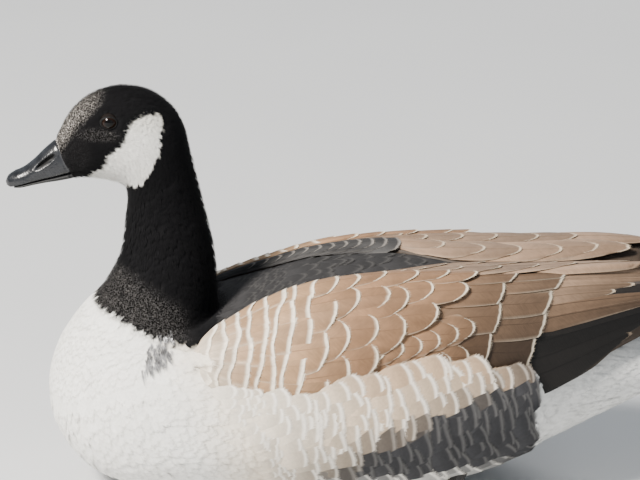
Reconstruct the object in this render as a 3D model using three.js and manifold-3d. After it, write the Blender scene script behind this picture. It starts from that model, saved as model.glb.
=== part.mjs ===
// A life-size Canada goose, settled on its belly with the neck up and the feet tucked under.
// Millimetres, +Z up, floor at Z 0. The bird faces -X, and its left side is -Y. X is first measured
// from the front of the breast, and the whole group is centred over the floor at the end.
import * as THREE from "three";
import { mergeVertices } from "three/addons/utils/BufferGeometryUtils.js";
import Module from "manifold-3d";

const wasm = await Module();
wasm.setup();

const GAP = 0.3; // kept between pieces that touch
const SLIVER = 0.03; // a detail smaller than this is dropped after a cut
const LEFT = -1;
const RIGHT = 1;
const RING_POINTS = 28; // round each ring of the flesh
const FLESH_STEPS = 1.5; // rings from one cut to the next

// The flesh is laid out as cuts across the bird, from the bill's root over the head, down the neck and
// back to the tail. Each cut names its end on the back line and on the belly line as [x, z], its half
// width, where between belly and back it is widest, and how square it is (2 is an ellipse).
const HEAD_CUTS = [
  { back: [9.2, 296.3], belly: [25, 262.8], half: 13.6, wide: 0.42, square: 2.1 },
  { back: [13, 307], belly: [30, 262.4], half: 17, wide: 0.44, square: 2.1 },
  { back: [20, 321], belly: [37, 262.2], half: 21, wide: 0.46, square: 2.1 },
  { back: [33, 334], belly: [44, 262], half: 24, wide: 0.47, square: 2.1 },
  { back: [50, 341.8], belly: [52, 261.4], half: 26, wide: 0.48, square: 2.15 },
  { back: [69, 344.4], belly: [60, 259.6], half: 27.5, wide: 0.48, square: 2.15 },
  { back: [90, 339.5], belly: [66, 256.6], half: 28.5, wide: 0.48, square: 2.1 },
  { back: [107, 326.5], belly: [68, 252.5], half: 28.5, wide: 0.49, square: 2.05 },
  { back: [116.5, 310.5], belly: [68.4, 248], half: 28, wide: 0.5, square: 2 },
  { back: [120.8, 294], belly: [68.4, 242.5], half: 27.5, wide: 0.5, square: 2 },
];
const NECK_CUTS = [
  { back: [124.6, 276.5], belly: [67.8, 235], half: 27, wide: 0.5, square: 2 },
  { back: [129.5, 254], belly: [66.6, 225], half: 27.5, wide: 0.5, square: 2 },
  { back: [135, 232], belly: [65.2, 213], half: 29.5, wide: 0.5, square: 2 },
  { back: [140, 210], belly: [62.6, 199], half: 33, wide: 0.5, square: 2 },
  { back: [143, 190], belly: [55.5, 183], half: 39, wide: 0.5, square: 2 },
  { back: [144.2, 173], belly: [45, 166], half: 47, wide: 0.5, square: 2 },
];
const TORSO_CUTS = [
  { back: [145, 160], belly: [32, 152.6], half: 57, wide: 0.5, square: 2 },
  { back: [147, 153], belly: [19, 136], half: 68, wide: 0.5, square: 2 },
  { back: [153, 156], belly: [7, 114], half: 81, wide: 0.5, square: 2 },
  { back: [161, 161], belly: [0.5, 84], half: 92, wide: 0.49, square: 2.05 },
  { back: [172, 167.5], belly: [9, 47], half: 101, wide: 0.47, square: 2.1 },
  { back: [187, 174], belly: [38, 14], half: 107, wide: 0.45, square: 2.15 },
  { back: [206, 180], belly: [85, 0], half: 112, wide: 0.43, square: 2.2 },
  { back: [230, 186], belly: [140, -3], half: 115, wide: 0.42, square: 2.2 },
  { back: [262, 189.5], belly: [200, -3.5], half: 115, wide: 0.41, square: 2.2 },
  { back: [300, 190], belly: [260, -3.5], half: 111, wide: 0.4, square: 2.2 },
  { back: [340, 186], belly: [315, 0], half: 103, wide: 0.4, square: 2.2 },
  { back: [378, 177], belly: [362, 12], half: 93, wide: 0.41, square: 2.2 },
  { back: [406, 168], belly: [398, 27], half: 83, wide: 0.42, square: 2.15 },
  { back: [424, 162], belly: [420, 38], half: 70, wide: 0.44, square: 2.1 },
  { back: [455, 151], belly: [452, 54], half: 57, wide: 0.46, square: 2.1 },
  { back: [492, 138], belly: [492, 74], half: 45, wide: 0.48, square: 2.1 },
  { back: [526, 127], belly: [527, 93], half: 36, wide: 0.5, square: 2.1 },
];
const CUTS = [...HEAD_CUTS, ...NECK_CUTS, ...TORSO_CUTS];
const NECK_START = HEAD_CUTS.length;
const TORSO_START = NECK_START + NECK_CUTS.length;
const LAST_CUT = CUTS.length - 1;

// The bill: its ridge and mouth line in side view, from root to tip, with the half width at each.
const BILL_CUTS = [
  { ridge: [9.2, 296.3], mouth: [21.6, 270], half: 13.2 },
  { ridge: [0, 288], mouth: [11, 267.2], half: 12.8 },
  { ridge: [-8, 279.8], mouth: [0.5, 264.6], half: 12 },
  { ridge: [-16, 273.2], mouth: [-10, 261.8], half: 11 },
  { ridge: [-24, 269], mouth: [-20, 258.8], half: 9.8 },
  { ridge: [-29.5, 265.2], mouth: [-27.5, 256.8], half: 7 },
  { ridge: [-31.7, 260.8], mouth: [-31, 257.6], half: 2.6 },
];
const LOWER_BILL_DEPTH = [7.6, 5.2, 4, 3.4, 2.8];
const LOWER_BILL_WAY = [0.427, -0.904];
const LOWER_BILL_SHARE = 0.88; // of the upper bill's width
const NOSTRIL = { at: [2.5, 276.6], long: 6.4, high: 1.7, deep: 4.5, lean: 0.72 };
const NAIL = { at: [-27, 263.2], long: 5.6, wide: 5.4, high: 4.6 };

const EYE = { at: [55, 318.5], ball: 7.6, proud: 2.3 };
const LIDS = { ring: 6.2, thick: 1.5, long: 1.14, high: 0.9 };

// The folded wing's outer side, cut across at each x: its crest beside the back, its low edge on the
// flank and its inner edge over the back as [y, z] from the middle plane, the thickness of what lies
// under the feathers, and how round the side is between edge and crest, from a flat blade, 0, to a
// quarter round, 1.
const WING_CUTS = [
  { x: 128, inner: [72, 141.5], crest: [74, 142], edge: [92, 124], thick: 8, round: 1 },
  { x: 140, inner: [66, 151], crest: [69, 152], edge: [101, 116], thick: 12, round: 1 },
  { x: 155, inner: [58, 159.5], crest: [62, 160.5], edge: [105, 108], thick: 16, round: 1 },
  { x: 185, inner: [47, 172.5], crest: [52, 174], edge: [109, 98], thick: 20, round: 1 },
  { x: 225, inner: [42, 185], crest: [48, 187], edge: [111, 92], thick: 22, round: 1 },
  { x: 280, inner: [38, 190.5], crest: [48.5, 194.5], edge: [103.5, 95], thick: 22, round: 1 },
  { x: 340, inner: [8, 189.5], crest: [50.5, 196.5], edge: [90.5, 98], thick: 20, round: 1 },
  { x: 400, inner: [5, 188], crest: [48.5, 197], edge: [78.5, 98], thick: 17, round: 1 },
  { x: 440, inner: [6, 187], crest: [46, 198.5], edge: [68.5, 113], thick: 13, round: 0.9 },
  { x: 475, inner: [10, 187], crest: [41, 198.5], edge: [56, 130], thick: 8, round: 0.6 },
  { x: 515, inner: [13, 184], crest: [32, 195], edge: [41.5, 147], thick: 5, round: 0.25 },
  { x: 555, inner: [11, 177.5], crest: [21.5, 187], edge: [27.5, 163], thick: 4, round: 0 },
  { x: 590, inner: [8, 173.5], crest: [12, 178], edge: [15, 173], thick: 3, round: 0 },
];
const WING_CORE_END = 440;
const FEATHER_THICK = 0.65;
const FEATHER_SINK = 3; // how deep a root lies below the wing's outer side
const SIDE_TILT = 0.75; // how far a feather's lower edge stands up, and its upper edge down
const OVERLAP = 0.55; // a feather's half width over the step to the next in its row

// The coverts and shoulder feathers: each row's root, the feathers' length and how many. Each row
// rises towards its tips, to lie over the roots of the next.
const COVERT_ROWS = [
  { root: 138, length: 42, count: 4 },
  { root: 157, length: 45, count: 5 },
  { root: 179, length: 48, count: 6 },
  { root: 203, length: 51, count: 5 },
  { root: 228, length: 56, count: 6 },
  { root: 255, length: 62, count: 5 },
  { root: 285, length: 70, count: 5 },
];
const COVERT_LIFT = 0.6;
const COVERT_SLOPE = 0.092;
// The long feathers, from the lowest up: the x of the roots and of the lowest and highest tip, how
// deep the roots lie, and how high the blades stand.
const SECONDARIES = { root: 326, count: 8, tips: [412, 500], sink: 3.4, lift: 0.2, slope: 0.012 };
const PRIMARIES = { root: 388, count: 8, tips: [478, 588], sink: 7.5, lift: -2.7, slope: 0.004 };
// The broad inner feathers that roof the back between the wings: where each roots and ends, and how far
// in from the crest, 1, to the inner edge, 2, its middle lies.
const ROOF_FEATHERS = [
  { root: 268, tip: 352, place: 1.22 },
  { root: 300, tip: 372, place: 1.64 },
  { root: 336, tip: 428, place: 1.26 },
  { root: 350, tip: 438, place: 1.68 },
  { root: 384, tip: 512, place: 1.24 },
  { root: 384, tip: 486, place: 1.66 },
];
const ROOF = { half: 0.3, sink: 3, lift: 0.4, slope: 0.03 };
const ROOF_THICK = 0.7; // of the thickness that the wing has lower down
// How far the wing's body lies in below its feathers, at each x.
const CORE_INSET = { x: [128, 316, 346, 440], inset: [0.9, 0.9, 4.9, 4.9] };

const TAIL = {
  root: 529,
  tip: 610,
  pivot: 470, // the fan's centre
  spread: 2.9, // degrees from one feather to the next
  count: 16,
  rise: 0.09,
  arch: 0.0024,
  rootHeight: 117,
  sink: 3,
  lower: 1.25, // how far the right half lies below the left, where the middle pair cross
  rounding: 0.34,
};
const TAIL_CORE = [
  { x: 527.4, half: 34, low: 95.5, high: 125.5 },
  { x: 540, half: 33, low: 101, high: 121.5 },
  { x: 556, half: 31, low: 106, high: 117 },
];

// The tucked legs, beside the belly's flat. The heel is behind, and the toes point forward.
const LEG = { side: 76, heel: 330, toeRoot: 246, radius: 5.6, shin: [352, 62, 44] };
const TOES = [
  { side: -11, length: 64, radius: 3.3 },
  { side: 0, length: 80, radius: 3.6 },
  { side: 11, length: 70, radius: 3.3 },
];
const CLAW = { length: 9, radius: 2.2 };
const WEB_HIGH = 3;

// A seeded draw from -1 to 1.
function draws(seed) {
  let state = seed;
  return () => {
    state = (state * 1664525 + 1013904223) % 4294967296;
    return (state / 4294967296) * 2 - 1;
  };
}

// A smooth curve y(x) through its points, flat out past its ends.
function curveThrough(xs, ys) {
  const slope = xs.map((_, i) => {
    const a = Math.max(i - 1, 0);
    const b = Math.min(i + 1, xs.length - 1);
    return (ys[b] - ys[a]) / (xs[b] - xs[a]);
  });
  return (x) => {
    let i = 0;
    while (i < xs.length - 2 && x > xs[i + 1]) i += 1;
    const step = xs[i + 1] - xs[i];
    const t = THREE.MathUtils.clamp((x - xs[i]) / step, 0, 1);
    const t2 = t * t;
    const t3 = t2 * t;
    return (
      ys[i] * (2 * t3 - 3 * t2 + 1) +
      ys[i + 1] * (3 * t2 - 2 * t3) +
      slope[i] * step * (t3 - 2 * t2 + t) +
      slope[i + 1] * step * (t3 - t2)
    );
  };
}

// A closed solid from points and triangles, turned to face out.
function solidOf(points, faces) {
  const kept = faces.filter(([a, b, c]) => a !== b && b !== c && a !== c);
  const make = (list) =>
    new wasm.Manifold(
      new wasm.Mesh({
        numProp: 3,
        vertProperties: new Float32Array(points.flatMap((p) => [p.x, p.y, p.z])),
        triVerts: new Uint32Array(list.flat()),
      }),
    );
  const made = make(kept);
  return made.volume() < 0 ? make(kept.map(([a, b, c]) => [a, c, b])) : made;
}

function solidOfGeometry(geometry) {
  const plain = geometry.clone();
  plain.deleteAttribute("normal");
  plain.deleteAttribute("uv");
  const merged = mergeVertices(plain, 1e-3);
  const position = merged.getAttribute("position");
  const points = [];
  for (let i = 0; i < position.count; i++) {
    points.push(new THREE.Vector3().fromBufferAttribute(position, i));
  }
  const index = [...merged.index.array];
  const faces = [];
  for (let i = 0; i < index.length; i += 3) faces.push(index.slice(i, i + 3));
  return solidOf(points, faces);
}

function geometryOf(solid) {
  const mesh = solid.getMesh();
  const geometry = new THREE.BufferGeometry();
  geometry.setAttribute("position", new THREE.BufferAttribute(mesh.vertProperties, 3));
  geometry.setIndex(new THREE.BufferAttribute(mesh.triVerts, 1));
  geometry.computeVertexNormals();
  return geometry;
}

// The largest closed surface of a solid, without the slivers that cuts leave.
function largestOf(solid) {
  const pieces = solid.simplify(SLIVER).decompose();
  return pieces.sort((a, b) => b.volume() - a.volume())[0];
}

function joined(pieces) {
  return wasm.Manifold.union(pieces);
}

// A skin over rings of points, with a flat fan across each end.
function loft(rings) {
  const n = rings[0].length;
  const points = rings.flat();
  const faces = [];
  for (let r = 0; r + 1 < rings.length; r++) {
    for (let i = 0; i < n; i++) {
      const a = r * n + i;
      const b = r * n + ((i + 1) % n);
      faces.push([a, b, b + n], [a, b + n, a + n]);
    }
  }
  [0, rings.length - 1].forEach((r, end) => {
    const centre = rings[r].reduce((sum, p) => sum.add(p), new THREE.Vector3());
    const c = points.push(centre.divideScalar(n)) - 1;
    for (let i = 0; i < n; i++) {
      const a = r * n + i;
      const b = r * n + ((i + 1) % n);
      faces.push(end ? [c, a, b] : [c, b, a]);
    }
  });
  return solidOf(points, faces);
}

const power = (value, share) => Math.sign(value) * Math.abs(value) ** share;

const cutNumbers = CUTS.map((_, i) => i);
const fleshCurve = {
  backX: curveThrough(cutNumbers, CUTS.map((c) => c.back[0])),
  backZ: curveThrough(cutNumbers, CUTS.map((c) => c.back[1])),
  bellyX: curveThrough(cutNumbers, CUTS.map((c) => c.belly[0])),
  bellyZ: curveThrough(cutNumbers, CUTS.map((c) => c.belly[1])),
  half: curveThrough(cutNumbers, CUTS.map((c) => c.half)),
  wide: curveThrough(cutNumbers, CUTS.map((c) => c.wide)),
  square: curveThrough(cutNumbers, CUTS.map((c) => c.square)),
};

// A point of the flesh: how far along the cuts, and the angle round, with the back at 90 degrees.
function fleshPoint(along, angle, grow = 0) {
  const back = new THREE.Vector2(fleshCurve.backX(along), fleshCurve.backZ(along));
  const belly = new THREE.Vector2(fleshCurve.bellyX(along), fleshCurve.bellyZ(along));
  const up = back.clone().sub(belly).normalize().multiplyScalar(grow);
  back.add(up);
  belly.sub(up);
  const wide = fleshCurve.wide(along);
  const share = 2 / fleshCurve.square(along);
  const s = power(Math.sin(angle), share);
  const t = s > 0 ? wide + (1 - wide) * s : wide + wide * s;
  const y = (fleshCurve.half(along) + grow) * power(Math.cos(angle), share);
  return new THREE.Vector3(
    belly.x + (back.x - belly.x) * t,
    y,
    Math.max(belly.y + (back.y - belly.y) * t, -grow),
  );
}

function fleshRing(along, grow) {
  return Array.from({ length: RING_POINTS }, (_, i) =>
    fleshPoint(along, (2 * Math.PI * (i + 0.5)) / RING_POINTS, grow),
  );
}

// A length of the flesh from one cut to another, each end set back by half the gap.
function flesh(from, to, perCut, grow = 0) {
  const steps = Math.round((to - from) * perCut);
  const rings = [];
  for (let i = 0; i <= steps; i++) rings.push(fleshRing(from + ((to - from) * i) / steps, grow));
  if (grow === 0) {
    setBack(rings[0], rings[1]);
    setBack(rings[steps], rings[steps - 1]);
  }
  return loft(rings);
}

// Moves a ring half a gap towards the next, square to its own plane.
function setBack(ring, next) {
  const middle = (points) =>
    points.reduce((sum, p) => sum.add(p), new THREE.Vector3()).divideScalar(points.length);
  const n = ring.length;
  const across = new THREE.Vector3().subVectors(ring[0], ring[n / 2]);
  const upward = new THREE.Vector3().subVectors(ring[n / 4], ring[(3 * n) / 4]);
  const normal = new THREE.Vector3().crossVectors(across, upward).normalize();
  const toNext = middle(next).sub(middle(ring));
  if (normal.dot(toNext) < 0) normal.negate();
  ring.forEach((p) => p.addScaledVector(normal, GAP / 2));
}

// The half width of the flesh at a place in side view.
function fleshHalfAt(x, z) {
  let best = { miss: Infinity };
  for (let along = 0; along <= LAST_CUT; along += 0.02) {
    const bx = fleshCurve.bellyX(along);
    const bz = fleshCurve.bellyZ(along);
    const dx = fleshCurve.backX(along) - bx;
    const dz = fleshCurve.backZ(along) - bz;
    const t = ((x - bx) * dx + (z - bz) * dz) / (dx * dx + dz * dz);
    const miss = Math.hypot(x - bx - dx * t, z - bz - dz * t);
    if (t > 0 && t < 1 && miss < best.miss) best = { miss, along, t };
  }
  const wide = fleshCurve.wide(best.along);
  const square = fleshCurve.square(best.along);
  const s = best.t > wide ? (best.t - wide) / (1 - wide) : (wide - best.t) / wide;
  return fleshCurve.half(best.along) * (1 - s ** square) ** (1 / square);
}

// The side of the head carries each eye in a socket, with a ring of lid round it.
function eyeCentre(side) {
  const out = fleshHalfAt(...EYE.at) + EYE.proud - EYE.ball;
  return new THREE.Vector3(EYE.at[0], side * out, EYE.at[1]);
}

function ballAt(centre, radius) {
  return solidOfGeometry(new THREE.SphereGeometry(radius, 16, 10)).translate(centre.toArray());
}

function lidAt(side) {
  const ring = new THREE.TorusGeometry(LIDS.ring, LIDS.thick, 6, 16);
  ring.rotateX(Math.PI / 2);
  ring.scale(LIDS.long, 1, LIDS.high);
  const centre = eyeCentre(side);
  const out = side * (EYE.ball - EYE.proud - 0.2);
  return solidOfGeometry(ring).translate([centre.x, centre.y + out, centre.z]);
}

function headSolid() {
  const skull = flesh(0, NECK_START, 1.2);
  const lids = [LEFT, RIGHT].map(lidAt);
  const sockets = [LEFT, RIGHT].map((side) => ballAt(eyeCentre(side), EYE.ball + GAP));
  return largestOf(joined([skull, ...lids]).subtract(joined(sockets)));
}

// A ring of the bill between an upper and a lower line, rounded on top or below.
function billRing(upper, lower, half, wide) {
  return Array.from({ length: 16 }, (_, i) => {
    const angle = (2 * Math.PI * (i + 0.5)) / 16;
    const s = power(Math.sin(angle), 2 / 2.3);
    const t = s > 0 ? wide + (1 - wide) * s : wide + wide * s;
    return new THREE.Vector3(
      lower[0] + (upper[0] - lower[0]) * t,
      half * power(Math.cos(angle), 2 / 2.3),
      lower[1] + (upper[1] - lower[1]) * t,
    );
  });
}

function upperBill() {
  const lifted = ([x, z]) => [x, z + GAP];
  const rings = BILL_CUTS.map((c) => billRing(c.ridge, lifted(c.mouth), c.half, 0.2));
  setBack(rings[0], rings[1]);
  const shell = loft(rings);
  const nail = solidOfGeometry(new THREE.SphereGeometry(1, 10, 6))
    .scale([NAIL.long, NAIL.wide, NAIL.high])
    .rotate([0, -24, 0])
    .translate([NAIL.at[0], 0, NAIL.at[1]]);
  const slots = [LEFT, RIGHT].map((side) =>
    solidOfGeometry(new THREE.SphereGeometry(1, 10, 6))
      .scale([NOSTRIL.long, NOSTRIL.deep, NOSTRIL.high])
      .rotate([0, THREE.MathUtils.radToDeg(-NOSTRIL.lean), 0])
      .translate([NOSTRIL.at[0], side * 11, NOSTRIL.at[1]]),
  );
  const front = new THREE.BoxGeometry(40, 40, 12);
  const belowMouth = solidOfGeometry(front).rotate([0, -15.5, 0]).translate([-29, 0, 250.6]);
  return largestOf(joined([shell, nail]).subtract(joined(slots)).subtract(belowMouth));
}

function lowerBill() {
  const rings = LOWER_BILL_DEPTH.map((depth, i) => {
    const cut = BILL_CUTS[i];
    const [wayX, wayZ] = LOWER_BILL_WAY;
    const below = [cut.mouth[0] + wayX * depth, cut.mouth[1] + wayZ * depth];
    return billRing(cut.mouth, below, cut.half * LOWER_BILL_SHARE, 0.75);
  });
  setBack(rings[0], rings[1]);
  return loft(rings);
}

const wingXs = WING_CUTS.map((c) => c.x);
const wingCurve = {
  crestY: curveThrough(wingXs, WING_CUTS.map((c) => c.crest[0])),
  crestZ: curveThrough(wingXs, WING_CUTS.map((c) => c.crest[1])),
  edgeY: curveThrough(wingXs, WING_CUTS.map((c) => c.edge[0])),
  edgeZ: curveThrough(wingXs, WING_CUTS.map((c) => c.edge[1])),
  innerY: curveThrough(wingXs, WING_CUTS.map((c) => c.inner[0])),
  innerZ: curveThrough(wingXs, WING_CUTS.map((c) => c.inner[1])),
  thick: curveThrough(wingXs, WING_CUTS.map((c) => c.thick)),
  round: curveThrough(wingXs, WING_CUTS.map((c) => c.round)),
};

// A point of the wing's outer side, for the bird's right. share runs from the low edge, 0, over the
// crest, 1, to the inner edge, 2, and inset draws the surface in towards the body.
function wingPoint(x, share, inset = 0) {
  if (share > 1) {
    const y = THREE.MathUtils.lerp(wingCurve.crestY(x), wingCurve.innerY(x), share - 1);
    const z = THREE.MathUtils.lerp(wingCurve.crestZ(x), wingCurve.innerZ(x), (share - 1) ** 2);
    return new THREE.Vector3(x, y, z - inset);
  }
  const angle = (share * Math.PI) / 2;
  const out = THREE.MathUtils.lerp(1 - share, Math.cos(angle), wingCurve.round(x));
  const up = THREE.MathUtils.lerp(share, Math.sin(angle), wingCurve.round(x));
  const crestY = wingCurve.crestY(x);
  const edgeZ = wingCurve.edgeZ(x);
  return new THREE.Vector3(
    x,
    crestY + (wingCurve.edgeY(x) - crestY - inset) * out,
    edgeZ + (wingCurve.crestZ(x) - edgeZ - inset) * up,
  );
}

const wingSurface = { at: (x, share) => wingPoint(x, share), small: 0.01 };
const coreInset = curveThrough(CORE_INSET.x, CORE_INSET.inset);

function wingCore() {
  const rings = [];
  const steps = 13;
  const outer = 6;
  const start = wingXs[0];
  for (let r = 0; r <= steps; r++) {
    const x = start + ((WING_CORE_END - start) * r) / steps;
    const thick = wingCurve.thick(x);
    const ring = [];
    for (let i = 0; i <= outer; i++) ring.push(wingPoint(x, i / outer, coreInset(x)));
    ring.push(wingPoint(x, 2, coreInset(x)));
    for (const share of [2, 1]) ring.push(wingPoint(x, share, thick * ROOF_THICK));
    for (let i = outer - 1; i >= 1; i--) ring.push(wingPoint(x, i / outer, thick));
    rings.push(ring);
  }
  return loft(rings);
}

// Blade outlines as [share of length, share of half width], root first.
const ROUND_TIP = [
  [0, 0.7],
  [0.34, 1],
  [0.72, 1],
  [0.92, 0.62],
  [1, 0],
];
const LONG_TIP = [
  [0, 0.7],
  [0.25, 1],
  [0.6, 1],
  [0.88, 0.96],
  [0.97, 0.58],
  [1, 0],
];

// A feather: a thin curved blade that follows a surface, dives into it at its root and stands clear
// of it towards its tip. middle(x) and half(x) give its middle line and half width in the surface's
// own measure across.
function feather(surface, { root, length, middle, half, outline, sink, lift, slope, tilt }) {
  const top = [];
  const bottom = [];
  const rows = [];
  const normalAt = (x, across) => {
    const alongX = surface.at(x + 0.5, across).sub(surface.at(x - 0.5, across));
    const sideways = surface.at(x, across + surface.small).sub(surface.at(x, across - surface.small));
    return sideways.cross(alongX).normalize();
  };
  for (const [far, wide] of outline) {
    const x = root + length * far;
    const rise = Math.min(far / 0.25, 1);
    const height = lift - (sink + lift) * (1 - rise) + slope * Math.max(far - 0.25, 0) * length;
    const row = [];
    for (const side of wide > 0 ? [-1, 0, 1] : [0]) {
      const across = middle(x) + side * wide * half(x);
      const normal = normalAt(x, across);
      const middleHeight = height - side * wide * tilt;
      row.push(top.length);
      for (const [skin, off] of [
        [top, FEATHER_THICK / 2],
        [bottom, -FEATHER_THICK / 2],
      ]) {
        skin.push(surface.at(x, across).addScaledVector(normal, middleHeight + off));
      }
    }
    rows.push(row);
  }
  const faces = [];
  for (let r = 0; r + 1 < rows.length; r++) {
    const a = rows[r];
    const b = rows[r + 1];
    for (let i = 0; i < 2; i++) {
      if (b.length === 1) faces.push([a[i], a[i + 1], b[0]]);
      else faces.push([a[i], a[i + 1], b[i + 1]], [a[i], b[i + 1], b[i]]);
    }
  }
  const n = top.length;
  const under = faces.map(([a, b, c]) => [a + n, c + n, b + n]);
  const wideRows = rows.slice(1, -1);
  const tip = rows[rows.length - 1][0];
  const loop = [
    ...rows[0],
    ...wideRows.map((row) => row[2]),
    tip,
    ...wideRows.map((row) => row[0]).reverse(),
  ];
  const rim = loop.flatMap((a, i) => {
    const b = loop[(i + 1) % loop.length];
    return [
      [b, a, a + n],
      [b, a + n, b + n],
    ];
  });
  return solidOf([...top, ...bottom], [...faces, ...under, ...rim]);
}

// One row of small feathers. Every other row is set half a feather up.
function covertRow({ root, length, count }, row, draw) {
  return Array.from({ length: count }, (_, i) => {
    const place = (i + (row % 2 ? 0.7 : 0.2)) / (count + 0.1) + 0.006 * draw();
    return feather(wingSurface, {
      root: root + 1.5 * draw(),
      length: length * (1 + 0.04 * draw()),
      middle: () => place,
      half: () => OVERLAP / count,
      outline: ROUND_TIP,
      sink: FEATHER_SINK,
      lift: COVERT_LIFT,
      slope: COVERT_SLOPE,
      tilt: SIDE_TILT,
    });
  });
}

function longFeathers({ root, count, tips, sink, lift, slope }, draw) {
  return Array.from({ length: count }, (_, i) => {
    const place = (i + 0.45) / count;
    const tip = tips[0] + (tips[1] - tips[0]) * Math.sin((i / (count - 1)) * (Math.PI / 2)) + draw();
    return feather(wingSurface, {
      root,
      length: tip - root,
      middle: () => place,
      half: () => OVERLAP / count,
      outline: LONG_TIP,
      sink,
      lift,
      slope,
      tilt: SIDE_TILT,
    });
  });
}

function roofFeathers(draw) {
  return ROOF_FEATHERS.map(({ root, tip, place }) =>
    feather(wingSurface, {
      root,
      length: tip - root + draw(),
      middle: () => place,
      half: () => ROOF.half,
      outline: ROUND_TIP,
      sink: ROOF.sink,
      lift: ROOF.lift,
      slope: ROOF.slope,
      tilt: SIDE_TILT,
    }),
  );
}

// The whole wing of one side: built on the right, mirrored for the left, and cut clear of the body.
function wing(side, body) {
  const draw = draws(side === LEFT ? 23 : 6);
  const feathers = [
    ...COVERT_ROWS.flatMap((row, i) => covertRow(row, i, draw)),
    ...longFeathers(SECONDARIES, draw),
    ...longFeathers(PRIMARIES, draw),
    ...roofFeathers(draw),
  ];
  const whole = joined([wingCore(), ...feathers]);
  const placed = side === LEFT ? whole.mirror([0, 1, 0]) : whole;
  return largestOf(placed.subtract(body));
}

const tailSurface = {
  at: (x, across) =>
    new THREE.Vector3(x, across, TAIL.rootHeight + (x - TAIL.root) * TAIL.rise - TAIL.arch * across ** 2),
  small: 0.5,
};

function tailCore() {
  const rings = TAIL_CORE.map(({ x, half, low, high }) =>
    Array.from({ length: 20 }, (_, i) => {
      const angle = (2 * Math.PI * (i + 0.5)) / 20;
      return new THREE.Vector3(
        x,
        half * power(Math.cos(angle), 0.9),
        (low + high) / 2 + ((high - low) / 2) * power(Math.sin(angle), 0.9),
      );
    }),
  );
  return loft(rings);
}

function tailFeathers() {
  const spread = THREE.MathUtils.degToRad(TAIL.spread);
  return Array.from({ length: TAIL.count }, (_, i) => {
    const place = i - (TAIL.count - 1) / 2;
    const shorter = TAIL.rounding * (Math.abs(place) - 0.5) ** 2;
    return feather(tailSurface, {
      root: TAIL.root,
      length: TAIL.tip - TAIL.root - shorter,
      middle: (x) => (x - TAIL.pivot) * Math.tan(place * spread),
      half: (x) => OVERLAP * (x - TAIL.pivot) * Math.tan(spread),
      outline: LONG_TIP,
      sink: TAIL.sink,
      lift: place > 0 ? -TAIL.lower : 0,
      slope: 0,
      tilt: Math.sign(place) * SIDE_TILT,
    });
  });
}

function tail() {
  return largestOf(joined([tailCore(), ...tailFeathers()]));
}

// A round limb through points that each have a radius, pressed flat where it meets the floor.
function limb(points, radii, sides = 10) {
  const rings = points.map((p, i) => {
    const before = points[Math.max(i - 1, 0)];
    const after = points[Math.min(i + 1, points.length - 1)];
    const way = new THREE.Vector3().subVectors(after, before).normalize();
    const turn = new THREE.Quaternion().setFromUnitVectors(new THREE.Vector3(1, 0, 0), way);
    return Array.from({ length: sides }, (_, k) => {
      const a = (2 * Math.PI * (k + 0.5)) / sides;
      const spoke = new THREE.Vector3(0, Math.cos(a), Math.sin(a)).multiplyScalar(radii[i]);
      const at = spoke.applyQuaternion(turn).add(p);
      return at.setZ(Math.max(at.z, 0));
    });
  });
  return loft(rings);
}

function leg(side, body) {
  const y = side * LEG.side;
  const r = LEG.radius;
  const shank = limb(
    [
      new THREE.Vector3(LEG.toeRoot + GAP, y, r - 0.6),
      new THREE.Vector3(LEG.toeRoot + 12, y, r - 0.8),
      new THREE.Vector3(LEG.heel - 12, y, r),
      new THREE.Vector3(LEG.heel + 2, y, r + 1),
      new THREE.Vector3(LEG.heel + 9, y * 0.98, r + 5),
    ],
    [r * 0.95, r * 0.85, r * 0.95, r * 1.3, r * 0.9],
  );
  const [x, out, z] = LEG.shin;
  const shin = limb(
    [
      new THREE.Vector3(LEG.heel + 3, y, r + 1.5),
      new THREE.Vector3(LEG.heel + 10, y * 0.96, r + 13),
      new THREE.Vector3(x, side * out, z),
    ],
    [r, r * 1.1, r * 1.7],
  );
  return largestOf(joined([shank, shin]).subtract(body));
}

function foot(side) {
  const y = side * LEG.side;
  const base = LEG.toeRoot - GAP / 2;
  const toes = TOES.flatMap(({ side: off, length, radius }) => {
    const tipY = y + off;
    const rootY = y + off * 0.35;
    const joint = (share) => new THREE.Vector3(base - length * share, rootY + (tipY - rootY) * share, radius - 0.5);
    const shares = [0, 0.1, 0.34, 0.42, 0.66, 0.73, 1];
    const radii = [1, 1.1, 0.85, 1.02, 0.8, 0.94, 0.72].map((k) => k * radius);
    const claw = new THREE.ConeGeometry(CLAW.radius, CLAW.length, 8);
    claw.rotateZ(Math.PI / 2 + 0.16);
    claw.translate(base - length - CLAW.length * 0.42, tipY, CLAW.radius + 0.1);
    return [limb(shares.map(joint), radii, 8), solidOfGeometry(claw)];
  });
  const [inner, middle, outer] = TOES;
  const outline = new THREE.Shape([
    new THREE.Vector2(base - 2, y + inner.side * 0.35),
    new THREE.Vector2(base - inner.length * 0.94, y + inner.side),
    new THREE.Vector2(base - inner.length * 0.86, y + inner.side * 0.5),
    new THREE.Vector2(base - middle.length * 0.92, y),
    new THREE.Vector2(base - outer.length * 0.88, y + outer.side * 0.5),
    new THREE.Vector2(base - outer.length * 0.94, y + outer.side),
    new THREE.Vector2(base - 2, y + outer.side * 0.35),
  ]);
  const web = new THREE.ExtrudeGeometry(outline, { depth: WEB_HIGH, bevelEnabled: false });
  return largestOf(joined([solidOfGeometry(web), ...toes]));
}

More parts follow.
